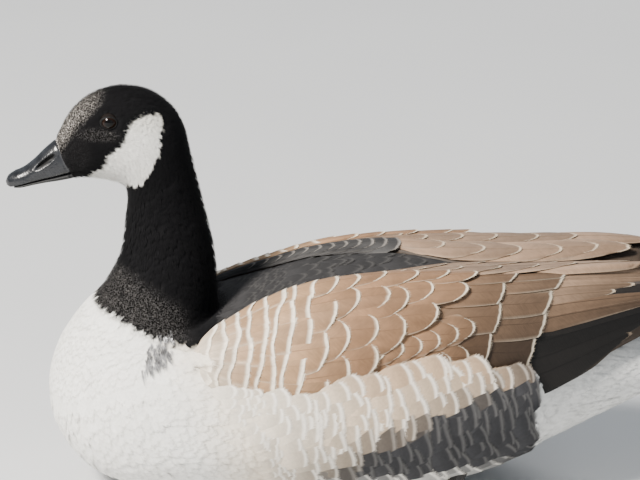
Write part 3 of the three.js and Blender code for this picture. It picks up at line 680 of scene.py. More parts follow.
# %% [markdown]
# A goose's coat is a skin full of feathers that lie backward like tiles. On the head they are as fine as
# velvet, on the breast soft and short, on the flanks broad. Each kind is drawn once, flat, as a small
# mesh: how far forward, sideways and up each point lies. Copies then bend over the body, because every
# point is placed on the flesh itself.

# %% Drawing small feathers
SHOULDER_END = 133  # small breast feathers run this far over the front of the wing
OVER_WING = 3.3  # how far above the wing's surface the coat passes over it
UNDER_WING = 3.0  # deeper than this under the wing no feather grows
EYE_AT = (55.0, 318.5)


def velvet(blades, seed):
    """A tuft of narrow blades, each of three triangles. Every point has its share along and across."""
    draw = np.random.default_rng(seed)
    points = []
    faces = []
    for side in np.linspace(-1, 1, blades):
        reach = 1 - 0.22 * abs(side) + draw.uniform(-0.08, 0.08)
        high = draw.uniform(0.75, 1.05)
        wide = 0.15
        first = len(points)
        points += [
            (0, 0.35 * side - wide, -0.15), (0, 0.35 * side + wide, -0.15),
            (0.5 * reach, 0.7 * side - wide, 0.6 * high), (0.5 * reach, 0.7 * side + wide, 0.6 * high),
            (reach, side + draw.uniform(-0.15, 0.15), high),
        ]
        faces.append(first + np.array([(0, 1, 3), (0, 3, 2), (2, 3, 4)]))
    points = np.array(points)
    return points, np.vstack(faces), points[:, :2] / np.abs(points[:, :2]).max(axis=0)


def leaf(rows, columns, square, cup, barbs, fringe, seed):
    """A broad feather: narrow root, full width from a third on, tip more or less square, frayed edge."""
    draw = np.random.default_rng(seed)
    body = 1 - fringe

    def at(f, s):
        wide = np.minimum(1, (np.maximum(f, 0.02) / 0.4) ** 0.6) * (1 - (0.45 - 0.3 * square) * f**3)
        forward = body * f * (1 - (0.34 - 0.22 * square) * s**2 * f)
        droop = 0.3 * np.abs(s) ** 3  # the sides bend down on the feathers below
        arch = cup * (1 - s**2) * np.sin(np.pi * np.minimum(f, 1) ** 0.7)
        up = -0.1 + 1.1 * np.maximum(f, 0) ** 0.4 + arch - droop
        return np.stack(np.broadcast_arrays(forward, s * wide, up), axis=-1)

    down = 1 - (1 - np.linspace(0, 1, rows + 1)) ** 1.5
    f, s = np.meshgrid(down, np.linspace(-1, 1, columns + 1), indexing="ij")
    points = [at(f, s).reshape(-1, 3)]
    marks = [np.stack([f, s], -1).reshape(-1, 2)]
    faces = [grid_faces(rows + 1, columns + 1)]

    def barb(low, high, reach, mark, order=1):
        """A triangle that stands out past the edge."""
        first = f.size + 3 * (len(points) - 1)
        points.append(np.stack([low, high, (low + high) / 2 + reach]))
        marks.append([mark] * 3)
        faces.append([(first, first + 1, first + 2)[::order]])

    step = 2 / barbs
    for root_s in np.linspace(-1 + step / 2, 1 - step / 2, barbs):
        reach = (fringe * draw.uniform(0.5, 1.1), root_s * draw.uniform(0, 0.14), draw.uniform(-0.1, 0.1))
        barb(at(1.0, root_s - 0.45 * step), at(1.0, root_s + 0.45 * step), reach, (1, root_s))
    for side in (-1, 1):
        for root_f in np.linspace(0.3, 0.95, barbs // 2):
            reach = (0.09, side * draw.uniform(0.06, 0.16), 0)
            barb(at(root_f - 0.035, side), at(root_f + 0.035, side), reach, (root_f, side), -side)
    return np.vstack(points), np.vstack(faces), np.vstack(marks)


print("a tuft of velvet has", len(velvet(5, 1)[1]), "triangles")

# %% [markdown]
# Real feathers root in rows, a little apart, each row staggered against the next. Particles could strew
# them, but then they bunch and gape. Here each root gets a place of its own, evenly spaced, with a small
# seeded shift, and none is laid where a wing or an eye would hide it.

# %% Laying feathers on the body


def rates(along, angle):
    """How many millimetres the body's surface moves per unit along and per radian round."""
    inner = np.clip(along, SMALL, COAT_END - SMALL)
    forward = flesh_point(inner + SMALL, angle) - flesh_point(inner - SMALL, angle)
    sideways = flesh_point(inner, angle + SMALL) - flesh_point(inner, angle - SMALL)
    return np.linalg.norm(forward, axis=-1) / (2 * SMALL), np.linalg.norm(sideways, axis=-1) / (2 * SMALL)


def roots(first, last, spacing, seed, across=1.0):
    """Staggered places for feathers over a stretch of the body, spaced evenly along it. Sideways they
    are this many times further apart."""
    draw = np.random.default_rng(seed)
    stretch = np.linspace(first, last, 300)
    ring = np.linspace(0, 2 * np.pi, 181)
    forward, sideways = rates(stretch[:, None] + 0 * ring, 0 * stretch[:, None] + ring)
    columns = int(2 * np.pi * np.percentile(sideways, 97) / spacing / across)
    along = []
    angle = []
    for column in range(columns):
        turn = 2 * np.pi * column / columns
        speed = forward[:, int(column * 180 / columns)]
        run = np.concatenate([[0], np.cumsum((speed[1:] + speed[:-1]) / 2 * np.diff(stretch))])
        marks = np.arange(spacing * (0.25 + 0.5 * (column % 2)), run[-1], spacing)
        along.append(np.interp(marks + draw.normal(0, 0.12 * spacing, len(marks)), run, stretch))
        angle.append(turn + draw.normal(0, 0.14 / across, len(marks)) * 2 * np.pi / columns)
    along = np.concatenate(along)
    angle = np.concatenate(angle)
    gap = rates(along, angle)[1] * 2 * np.pi / columns
    kept = draw.random(len(along)) < gap / spacing / across
    return along[kept], angle[kept]


def lay(places, shape, length, width, rise, turn_by, seed, over_wing=False):
    """Copies of one feather shape laid on the body: points of all of them and each one's own unevenness."""
    draw = np.random.default_rng(seed)
    along, angle = places
    count = len(along)
    forward, sideways = rates(along, angle)
    size = draw.uniform(0.84, 1.16, count)
    turn = (turn_by + draw.normal(0, 0.1, count)) * np.sign(np.cos(angle))
    f = shape[:, 0] * length * size[:, None]
    s = shape[:, 1] * width / 2 * size[:, None]
    run = f * np.cos(turn)[:, None] - s * np.sin(turn)[:, None]
    side = f * np.sin(turn)[:, None] + s * np.cos(turn)[:, None]
    at_along = along[:, None] + run / forward[:, None]
    at_angle = angle[:, None] + side / np.maximum(sideways, 4)[:, None]
    height = shape[:, 2] * (rise * draw.uniform(0.9, 1.08, count))[:, None]
    points = flesh_point(at_along, at_angle, COAT_DEPTH(at_along) - height)
    if over_wing:
        points = onto_wing(points, OVER_WING + 1.4 * shape[:, 2])
    return points, draw.uniform(-1, 1, count)


def seen_only(places):
    """Leaves out the places that a wing or an eye covers."""
    points = flesh_point(*places)
    level, wing_y = wing_side(points)
    x = points[..., 0]
    covered = level & (np.abs(points[..., 1]) < wing_y - UNDER_WING) & (points[..., 2] < CREST_Z(x))
    covered &= np.abs(points[..., 1]) > CREST_Y(x) - 14
    covered |= (x > 352) & (x < 440) & (points[..., 2] > 130)
    covered &= x > SHOULDER_END
    in_eye = np.hypot((x + 1.5 - EYE_AT[0]) / 9.2, (points[..., 2] - EYE_AT[1]) / 7.6) < 1
    kept = ~covered & ~(in_eye & (np.abs(points[..., 1]) > 10))
    return places[0][kept], places[1][kept]


print("roots on the crown lie", round(float(rates(5.0, np.pi / 2)[0])), "mm apart for each cut between them")

# %% [markdown]
# The colour of a feather isn't even: the base lies in shade under its neighbours, the tip is worn and
# pale. On the flanks and the back each feather is darker before a pale edge, which draws the bars that a
# goose shows there.

# %% Growing the coat
WORN_EDGE = (0.95, 0.91, 0.83)
SOFTNESS = 0.8  # how far the shading turns from each feather's own to the body's


def soft_tint(base, f, s, uneven):
    """Plain feathers: darker at the root, each one a little lighter or darker."""
    shade = (0.9 + 0.12 * f) * (1 + 0.05 * uneven[:, None])
    return base[:, None, :] * shade[..., None]


def edged_tint(base, f, s, uneven):
    """Feathers with a darker band before a pale edge."""
    bright = smooth(0.05, 0.5, base.mean(axis=-1))
    edge = np.maximum(smooth(0.91, 0.98, f), 0.12 * smooth(0.84, 0.97, np.abs(s)) * smooth(0.5, 0.8, f))
    middle = base * (0.94 + 0.08 * uneven[:, None])
    plain = smooth(0.7, 0.82, base.mean(axis=-1))[:, None]
    band = 1.06 - 0.32 * smooth(0.45, 0.88, f) * (1 - plain)
    share = 0.02 + 0.03 * smooth(0.036, 0.055, base.mean(axis=-1)) + 0.7 * bright
    pale = mix(base, WORN_EDGE, share)
    return mix(middle[:, None, :] * band[..., None], pale[:, None, :], edge)


def body_out(along, angle):
    """The way out of the body at these places."""
    lie = flesh_point(along + SMALL, angle) - flesh_point(along - SMALL, angle)
    around = flesh_point(along, angle + SMALL) - flesh_point(along, angle - SMALL)
    return unit(np.cross(around, lie))


def soften(mesh, outs):
    """Turns the shading towards the body's own, so that down looks soft and not like scales."""
    own = np.empty(len(mesh.vertices) * 3, np.float32)
    mesh.vertices.foreach_get("normal", own)
    mixed = (1 - SOFTNESS) * own.reshape(-1, 3) + SOFTNESS * outs
    mesh.normals_split_custom_set_from_vertices(unit(mixed))


def grow(name, places, shape, length, width, rise, tinting, seed, turn_by=0.0, over_wing=False):
    """One coat piece: copies of a shape at these places, in mm."""
    template, triangles, marks = shape
    points, uneven = lay(places, template, length, width, rise, turn_by, seed, over_wing)
    rooted = flesh_point(*places)
    base = plumage(rooted, uneven)
    f, s = marks.T
    tint = tinting(base, f + 0 * points[..., 0], s + 0 * points[..., 0], uneven)
    glint_share = np.repeat(painted_glints(rooted), len(template))
    patch = np.stack([s, 2 * f - 1], axis=-1) * PATCH / 2
    uv = unwrapped(*places)[:, None, :] + patch
    faces = (np.arange(len(uneven))[:, None, None] * len(template) + triangles).reshape(-1, 3)
    piece = build(name, points, faces, uv, tint, COAT, glint_share=glint_share)
    soften(piece.data, np.repeat(body_out(*places), len(template), axis=0))
    print(f"{name}: {len(uneven)} feathers, {len(faces)} triangles")


print("shading turns", SOFTNESS, "of the way to the body's own")

# %% [markdown]
# Each kind of feather has its own region of the bird, with borders that the picture shows. They could be
# painted as a mask, but a few plain tests of a place's x and z are easier to move. The long flank feathers
# are rooted one by one, row behind row, because their tips have to meet in the pale bars.

# %% Regions of the body


def chosen(places, test):
    """The places whose points on the body pass the test."""
    kept = test(flesh_point(*places))
    return places[0][kept], places[1][kept]


NECK_FROM = 9.6
BREAST_FROM = 14.6
BACK_FROM = 19.0
MANTLE_FINE = 190  # ahead of this the feathers of the back are small


def is_neck(p):
    """Where the black of the neck reaches, with a little of the white below it."""
    x, up = seen_from_side(p)
    return (x < 156) & (up > NECK_BLACK_ENDS(x) - 4)


def on_back(p):
    across = np.abs(p[..., 1]) < 74
    return (p[..., 2] > 133) & (p[..., 0] > 136) & (p[..., 0] < 470) & across & ~is_neck(p)


def behind_neck(p):
    return on_back(p) & (p[..., 0] < MANTLE_FINE)


def on_rump(p):
    return on_back(p) & (p[..., 0] > MANTLE_FINE - 12)


def on_flank(p):
    return (p[..., 0] > 170) & (p[..., 0] < 394) & (p[..., 2] > 20) & ~on_back(p)


def is_soft(p):
    return ~on_flank(p) & ~on_back(p) & ~is_neck(p)


# Where the flank feathers end against the wing: x and z.
FLANK_TOP = curve_through(
    [100, 140, 165, 180, 189, 218, 244, 269, 295, 309, 330, 359, 383, 410],
    [120, 118, 116, 113, 108, 103, 108, 116, 119, 122, 127, 123, 119, 116],
)
FLANK_LONG = 38.0
BAR_STEP = 12.5  # from one pale bar of the flank to the next
BAR_LEAN = 0.5
FLANK_FROM = 158  # x of the first long feather at the top of the flank
FINE_LONG = 24.0  # feathers ahead of it


def body_place(x, z):
    """Where on the body's right side a place lies: how far along the cuts, and the angle round."""
    along = np.full(x.shape, 21.0)
    angle = np.zeros(x.shape)
    for _ in range(30):
        at = flesh_point(along, angle)
        lie = (flesh_point(along + SMALL, angle) - at) / SMALL
        around = (flesh_point(along, angle + SMALL) - at) / SMALL
        off_x = x - at[..., 0]
        off_z = z - at[..., 2]
        both = lie[..., 0] * around[..., 2] - lie[..., 2] * around[..., 0]
        step_along = (off_x * around[..., 2] - off_z * around[..., 0]) / both
        step_angle = (lie[..., 0] * off_z - lie[..., 2] * off_x) / both
        along = np.clip(along + np.clip(0.7 * step_along, -1, 1), 14, 31)
        angle = np.clip(angle + np.clip(0.7 * step_angle, -0.25, 0.25), -1.45, 1.45)
    return along, angle


def flank_roots(seed, tops, across, long):
    """Roots of the flank feathers in slanting rows, whose tips make one wavy bar after another. tops has
    the x of each row at its top."""
    draw = np.random.default_rng(seed)
    xs = []
    zs = []
    last_x = 418 - 0.92 * FLANK_LONG
    for row_x in tops:
        wave = draw.uniform(0, 2 * np.pi)
        top_x = row_x + draw.normal(0, 0.8)
        for place in range(across):
            top = FLANK_TOP(top_x + 0.8 * long) - 9
            z = 16 + (top - 16) * (1 - place / (across - 1)) ** 1.25 + draw.normal(0, 1.0)
            x = top_x + BAR_LEAN * (top - z) + 2.0 * math.sin(wave + 0.07 * z) + draw.normal(0, 0.5)
            if x < last_x + 7:
                xs.append(min(x, last_x + draw.normal(0, 0.8)))
                zs.append(z)
    along, angle = body_place(np.array(xs), np.array(zs))
    return np.concatenate([along, along]), np.concatenate([angle, np.pi - angle])


print("flank bars are", BAR_STEP, "mm apart")

# %% [markdown]
# The black of head and neck is velvet, of tufts a few millimetres long. The white breast below it has
# small soft feathers. Hair particles would look right too, but solid mesh can be exported as it is.

# %% Head, neck and breast
head_places = seen_only(roots(0.06, NECK_FROM, 2.1, 11))
grow("head_velvet", head_places, velvet(5, 4), 4.4, 2.6, 1.7, soft_tint, 12)
neck_places = chosen(roots(NECK_FROM, BACK_FROM, 2.7, 13), is_neck)
grow("neck_velvet", neck_places, velvet(6, 5), 6.6, 3.6, 2.4, soft_tint, 14)
breast_places = chosen(seen_only(roots(BREAST_FROM, BACK_FROM + 0.6, 4.4, 15)), is_soft)
breast_feather = leaf(5, 4, 0.4, 0.02, 12, 0.22, 6)
grow(
    "breast_feathers", breast_places, breast_feather, 16.0, 10.0, 1.7, soft_tint, 16,
    turn_by=0.1, over_wing=True,
)

# %% [markdown]
# Dark barbs of the neck spill thinly over the white below it. They could be painted on, but strands that
# stand up catch the light as real ones do. They are strewn, fewer towards the edge of a slanting oval.

# %% Strands below the neck
strand_draw = np.random.default_rng(33)
STRAND_GREY = (0.42, 0.42, 0.43)


def among_strands(p):
    """Thinly strewn places in a slanting oval below the neck."""
    x, up = seen_from_side(p)
    at_x, at_up, half_long, half_high = STRANDS
    far = np.hypot((x - at_x - 0.4 * (up - at_up)) / half_long, (up - at_up) / half_high)
    return strand_draw.uniform(size=x.shape) < smooth(1.3, 0.1, far) * smooth(20, 66, up)


def strand_tint(base, f, s, uneven):
    return soft_tint(mix(MANTLE_DARK_AND_SHADOW, STRAND_GREY, 0.5 + 0.5 * uneven), f, s, uneven)


strand_places = chosen(roots(BREAST_FROM - 1, BACK_FROM, 1.9, 31), among_strands)
grow("breast_strands", strand_places, velvet(5, 13), 10.0, 2.1, 4.8, strand_tint, 32)

# %% [markdown]
# Behind the breast the feathers grow larger, and each region of a real goose has its own kind: plain down
# on the belly, fine coverts under the tail, broad barred feathers on the flank, dark scales on the back. Part
# of the back's dark is painted shadow of the neck, and part of the flank's rear grey is painted shade. One
# kind all over would be quicker, but the bird is known by these differences.

# %% Belly, flank and back
belly_places = chosen(seen_only(roots(BACK_FROM, 29.0, 6.4, 17)), is_soft)
belly_feather = leaf(5, 4, 0.4, 0.02, 12, 0.2, 7)
grow("belly_feathers", belly_places, belly_feather, 21.0, 13.0, 2.7, soft_tint, 18)
rear_places = chosen(seen_only(roots(28.6, 33.0, 5.4, 19)), is_soft)
rear_feather = leaf(6, 4, 0.2, 0.05, 10, 0.18, 8)
grow("rear_coverts", rear_places, rear_feather, 26.0, 11.0, 3.2, soft_tint, 20)
fine_places = flank_roots(27, np.arange(134, FLANK_FROM + 8, 8), 17, FINE_LONG)
fine_feather = leaf(9, 8, 0.9, 0.03, 26, 0.12, 12)
grow(
    "shoulder_feathers", fine_places, fine_feather, FINE_LONG, 17.0, 3.0, edged_tint, 28,
    turn_by=0.4, over_wing=True,
)
flank_places = flank_roots(21, FLANK_FROM + BAR_STEP * np.arange(20), 10, FLANK_LONG)
flank_feather = leaf(16, 14, 1.1, 0.03, 46, 0.09, 9)
grow(
    "flank_feathers", flank_places, flank_feather, FLANK_LONG, 30.0, 4.2, edged_tint, 22,
    turn_by=0.4, over_wing=True,
)
mantle_places = chosen(seen_only(roots(BREAST_FROM, 23.0, 6.0, 25, 1.3)), behind_neck)
mantle_feather = leaf(8, 6, 0.5, 0.12, 12, 0.1, 11)
grow("mantle_feathers", mantle_places, mantle_feather, 17.0, 13.0, 3.2, edged_tint, 26)
back_places = chosen(seen_only(roots(BREAST_FROM, 30.0, 12.0, 23, 1.4)), on_rump)
back_feather = leaf(12, 8, 0.5, 0.1, 22, 0.07, 10)
grow("back_feathers", back_places, back_feather, 36.0, 28.0, 3.6, edged_tint, 24)

# %% [markdown]
# Wing and tail feathers are stiff: a shaft, and on both sides a vane of fine slanted barbs. Each is made
# on its own as a fine grid, bowed across and set on the wing's surface in tiled rows. The front of a row
# lies over the roots of the next, and the upper feather lies over the lower. Their edges are worn pale.

# %% A stiff feather
VANE_ROWS = 20
VANE_COLUMNS = 14
ATLAS = 14  # feathers to a side on the unwrapped wing
SHAFT_ROWS = 14
SHAFT_HALF = 0.42  # half its width in mm
EDGE_MM = 1.7


class Feathers:
    """Gathers feathers into one mesh, each with its own square of the unwrap. turned_over turns every
    face the other way round."""

    def __init__(self, seed, turned_over):
        self.draw = np.random.default_rng(seed)
        self.order = -1 if turned_over else 1
        self.parts = []
        self.total = 0
        self.count = 0

    def add(self, points, faces, uv, tint, barb=(0, 0, 0)):
        """One more part. uv, tint and barb are given for each point, or once for all of them."""
        points = np.reshape(points, (-1, 3))
        kept = [points, faces + self.total]
        for values, size in ((uv, 2), (tint, 3), (barb, 3)):
            kept.append(np.broadcast_to(np.reshape(values, (-1, size)), (len(points), size)))
        self.parts.append(kept)
        self.total += len(points)

    def bow(self, square, half):
        """How far the middle is arched over the edges."""
        return (0.12 - 0.08 * square) * half

    def rounding(self, square, half, length):
        """How far the tip's corners are drawn back, as a share of the length."""
        return (1 - square) * min(0.6, 1.15 * half / length)

    def in_cell(self, cell, f, s):
        """Where a feather's points lie on the unwrap, inside its own square."""
        return cell + (0.06 + 0.88 * np.stack([(s + 1) / 2, f], -1)) / ATLAS

    def feather(self, place, length, half, base, edge, square, slim, edge_mm=EDGE_MM):
        """place(f, s, up) gives points in mm; f runs along the shaft, s across from -1 to 1. square says
        how blunt the tip is, slim how much narrower than the middle."""
        draw = self.draw
        down = 1 - (1 - np.linspace(0, 1, VANE_ROWS + 1)) ** 1.5
        f, s = np.meshgrid(down, np.sin(np.linspace(-1, 1, VANE_COLUMNS + 1) * np.pi / 2), indexing="ij")
        wide = np.minimum(1, (np.maximum(f, 0.03) / 0.35) ** 0.5) * (1 - slim * f**4)
        forward = f * (1 - self.rounding(square, half, length) * np.abs(s) ** 2.4 * f**2)
        wear = 0.008 * ripple(np.stack([s * 7, f * 3, 0 * f], -1), 1.0, draw.integers(1, 9999))
        forward = forward + wear * (f > 0.9)
        bow = self.bow(square, half) * (1 - s**2)
        points = place(forward, s * wide, bow)
        uneven = draw.uniform(-1, 1)
        tip_edge = smooth(1 - 1.7 * edge_mm / length, 1 - 0.6 * edge_mm / length, f)
        side_edge = 0.24 * smooth(1 - 1.3 * edge_mm / half, 1 - 0.4 * edge_mm / half, np.abs(s))
        dark = np.asarray(base) * (1 + 0.13 * uneven) * (1 - 0.34 * smooth(0.4, 0.88, f))[..., None]
        streak = 1 + 0.14 * np.sin(s * 9 + f * 5 + uneven * 9) * np.abs(s)
        worn = np.asarray(edge) * (1 + 0.1 * uneven)
        tint = mix(dark * streak[..., None], worn, np.maximum(tip_edge, side_edge * smooth(0.3, 0.8, f)))
        slant = (f * length - np.abs(s) * half * 1.1) * 1.3
        barb = np.stack([slant, s * half * 0.16, 0 * f + 37 * uneven], -1)
        cell = np.array([self.count % ATLAS, self.count // ATLAS]) / ATLAS
        self.add(points, grid_faces(VANE_ROWS + 1, VANE_COLUMNS + 1), self.in_cell(cell, f, s), tint, barb)
        self.fray(place, length, half, edge, cell, square, slim)
        self.shaft(place, half, base, cell, self.bow(square, half))
        self.count += 1

    def fray(self, place, length, half, edge, cell, square, slim):
        """Fine barbs that stand past the worn tip."""
        draw = self.draw
        many = int(max(14, half * 3.2))
        s = np.linspace(-0.96, 0.96, many) + draw.normal(0, 0.01, many)
        tip_f = 1 - self.rounding(square, half, length) * np.abs(s) ** 2.4
        reach = draw.uniform(0.2, 2.4, many) / length
        wide = 1 - slim
        f = np.stack([tip_f - 0.02, tip_f - 0.02, tip_f + reach], -1)
        across = np.stack([s - 0.5 / many, s + 0.5 / many, s * 1.02], -1) * wide
        points = place(f, across, self.bow(square, half) * (1 - across**2))
        near_tip = cell + np.array([0.5, 0.93]) / ATLAS
        self.add(points, np.arange(many * 3).reshape(-1, 3), near_tip, np.asarray(edge) * 1.05)

    def shaft(self, place, half, base, cell, bow):
        """A thin raised ridge down the middle."""
        f = np.linspace(0.02, 0.97, SHAFT_ROWS)[:, None] + np.zeros(3)
        s = np.array([-1, 0, 1]) * SHAFT_HALF / half * (1 - 0.7 * f)
        up = bow + np.array([0.02, 0.4, 0.02]) * (1 - 0.6 * f)
        dark = np.asarray(base) * 0.55
        self.add(place(f, s, up), grid_faces(SHAFT_ROWS, 3), self.in_cell(cell, f, s), dark)

    def piece(self, name, slot):
        points, faces, uv, tint, barb = (np.vstack(column) for column in zip(*self.parts))
        print(f"{name}: {self.count} feathers, {len(faces)} triangles")
        return build(name, points, faces[:, :: self.order], uv, tint, VANE, barb)


print("one stiff feather:", VANE_ROWS, "by", VANE_COLUMNS)

# %% [markdown]
# A folded wing shows, from the front: small scapulars, rows of coverts that grow longer to the rear, the
# secondaries behind them, brown tertials along the crest and the black primaries last. The pale tips of
# each row make the cross bars. The rows below are read off those bars.

# %% Wing rows
# Each row: x of its lowest tip, how far back its highest tip leans, feather length, how many, the shares
# of the way up between which it runs, how square the tips are, and how far every other one ends short.
SCAPULARS = [
    (138, 6, 30, 5, 0.0, 1.0, 1.0, 0.0), (147, 7, 32, 5, 0.0, 1.0, 1.0, 0.0),
    (157, 8, 34, 6, 0.0, 1.0, 1.0, 0.0), (168, 9, 34, 6, 0.0, 1.0, 1.0, 0.5),
    (179, 11, 36, 6, 0.0, 1.0, 1.0, 0.5),
    (189, 12, 38, 5, 0.0, 1.0, 1.0, 0.5), (199, 14, 42, 5, 0.0, 1.0, 1.0, 1.0),
    (212, 17, 46, 5, 0.0, 1.02, 1.0, 1.0), (232, 18, 52, 4, 0.05, 1.02, 0.7, 4.0),
    (252, 18, 58, 4, 0.08, 1.04, 0.55, 6.0), (276, 16, 64, 4, 0.2, 1.04, 0.5, 6.5),
    (298, 18, 70, 3, 0.3, 1.04, 0.5, 7.0), (320, 22, 76, 3, 0.42, 1.04, 0.5, 7.0),
    (346, 26, 80, 2, 0.62, 1.0, 0.5, 7.0),
]
LESSER_COVERTS = [(262 + 15 * k, 6, 34, 3, 0.0, 0.36 + 0.02 * k, 0.35, 4.0) for k in range(7)]
GREATER_COVERTS = (362, 32, 66, 5, 0.04, 0.98, 0.8, 2.5)
SECONDARIES = (398, 42, 84, 6, 0.02, 1.0, 0.85, 2.0)
PRIMARIES = 9
PRIMARY_ROOT = 392
PRIMARY_TIP = 588  # the highest one's, which reaches furthest back
TERTIAL_ROOT = 372
# Tips of the long tertials: x, and the share of the way up.
LONG_TERTIALS = [
    (516, 0.44), (524, 0.53), (474, 0.61), (490, 0.69), (506, 0.78), (520, 0.87), (532, 0.96),
]
DEEP_TERTIALS = 0.55  # below this share they are as dark as the secondaries
# The inner scapulars that close the side towards the middle of the back: dark, partly painted shadow.
INNER_TIPS = range(176, 300, 11)
INNER_LONG = 52
# Tips of the broad feathers that roof the back: x, and the share over the crest towards the inner edge.
ROOF_TIPS = [
    (300, 1.12), (318, 1.3), (334, 1.62), (350, 1.2), (366, 1.7), (378, 1.22), (396, 1.66), (412, 1.24),
    (430, 1.7), (444, 1.26), (462, 1.66), (488, 1.62), (508, 1.2),
]
FRONT_BROWN = (0.5, 0.31, 0.172)
FRONT_EDGE = (0.88, 0.79, 0.66)
COVERT_BROWN = (0.3, 0.17, 0.092)
COVERT_EDGE = (0.78, 0.68, 0.54)
REAR_BROWN = (0.14, 0.088, 0.055)
TERTIAL_BROWN = (0.28, 0.185, 0.122)
TERTIAL_EDGE = (0.55, 0.45, 0.34)
PRIMARY_BROWN = (0.006, 0.005, 0.0045)
PRIMARY_EDGE = (0.17, 0.13, 0.095)
INNER_SLATE_AND_SHADOW = (0.042, 0.041, 0.042)
INNER_EDGE_AND_SHADOW = (0.19, 0.175, 0.16)
WING_BED = (0.05, 0.036, 0.026)
BED_END = 500
SHOULDER_STEP = 16  # how far the wing stands out of the breast at its front
ARC = curve_through([128, 155, 225, 340, 440, 515, 590], [45, 80, 130, 118, 92, 50, 9])  # edge to crest, mm


def no_wave(share):
    return 0.0


def set_on_wing(side, root_x, length, middle, half_share, base_up, slope, tilt, climb=0.0, wave=no_wave):
    """Places a feather's points on the wing: middle and half_share are shares of the way up. wave moves
    the tip back or forward by how far up it lies."""

    def place(f, s, up):
        share = np.minimum(middle + climb * f + s * half_share, 2.8)
        x = root_x + length * f + wave(share) * f**2
        share = np.minimum(share, 2.0 + 0.8 * smooth(320, 290, x))
        out = wing_out(x, np.clip(share, 0.02, 1.98))
        height = base_up + slope * length * f - tilt * s + up
        height = height - SHOULDER_STEP * smooth(WING_FRONT + 6, WING_FRONT - 24, x)
        points = wing_point(x, np.maximum(share, -0.03)) + out * height[..., None]
        return points * (1, side, 1)

    return place


def wing_bed(feathers, side):
    """The closed slab that the feathers root in."""
    xs = np.linspace(WING_FRONT + 4, BED_END, 60)
    share = np.linspace(0, 2, 40)
    deep = 1.6 + 3.4 * smooth(300, 440, xs) + 3 * smooth(WING_FRONT + 26, WING_FRONT, xs)
    rings = []
    for x, sunk, thick in zip(xs, deep, WING_THICK(xs)):
        under = np.maximum(np.where(share > 1, 0.65, 0.85) * thick, sunk + 2)
        rings.append(np.vstack([wing_point(x, share, sunk), wing_point(x, share, under)[::-1]]))
    points = np.array(rings) * (1, side, 1)
    faces = grid_faces(len(xs), 2 * len(share), closed=True, capped=True)
    last_cell = (ATLAS - 0.5) / ATLAS
    feathers.add(points, faces, (last_cell, last_cell), WING_BED, points * 0.3)


print(len(SCAPULARS), "rows of scapulars,", len(LESSER_COVERTS), "of lesser coverts")

# %% [markdown]
# Browns change over the wing: warm in front, darker to the rear, darkest on the lowest secondaries. Each
# feather could have a material of its own, but one for all, with the tint kept in the mesh, is lighter.
# Tips lie higher than roots, so each row covers the roots of the one behind it.

# %% Wings


def brown_at(x, share):
    """Ground and edge colour of a wing feather whose tip lies here."""
    warm = smooth(200, 280, x)
    rear = smooth(330, 400, x + 40 * (0.6 - share))
    low_rear = np.array(REAR_BROWN) * (0.22 + 0.78 * smooth(0.1, 0.7, share))
    ground = mix(mix(FRONT_BROWN, COVERT_BROWN, warm), low_rear, rear)
    ground = mix(CREAM, ground, smooth(132, 185, x + 12 * share))
    edge = mix(mix(FRONT_EDGE, COVERT_EDGE, warm), np.array(COVERT_EDGE) * 0.6, rear)
    return ground, edge


def wing_row(feathers, side, row, base_up, rise):
    """One row, from its lowest feather up. Every other feather ends a little short, and square ones join
    in a wavy line. Their tips rise this much over their roots."""
    draw = feathers.draw
    low_tip, lean, length, count, low, high, square, short = row
    half_share = 0.66 * (high - low) / count
    swell = 2.2 * smooth(0.8, 1.0, square)
    turn = draw.uniform(0, 2 * np.pi)
    for i in range(count):
        middle = low + (high - low) * (i + 0.5 + draw.uniform(-0.1, 0.1)) / count
        up_row = (i + 0.5) / count
        tip = low_tip + lean * up_row - short * (i % 2) + draw.uniform(-0.4, 0.4) * short
        root_x = tip - length * draw.uniform(0.94, 1.08)
        ground, edge = brown_at(tip, middle)

        def wave(share):
            joined = square * lean * (share - middle) / (high - low)
            return joined + swell * (np.sin(turn + 8 * share) + 0.35 * np.sin(2 * turn + 23 * share))

        long = tip - root_x
        tilt = 0.7 - 0.5 * smooth(0.8, 1.0, square)
        climb = draw.normal(0, 0.012)
        slope = rise / length
        place = set_on_wing(side, root_x, long, middle, half_share, base_up, slope, tilt, climb, wave)
        edge_mm = EDGE_MM * (1.4 - 0.65 * smooth(200, 330, tip))
        slim = 0.05 + 0.45 * (1 - square)
        feathers.feather(place, long, half_share * ARC(tip), ground, edge, square, slim, edge_mm)


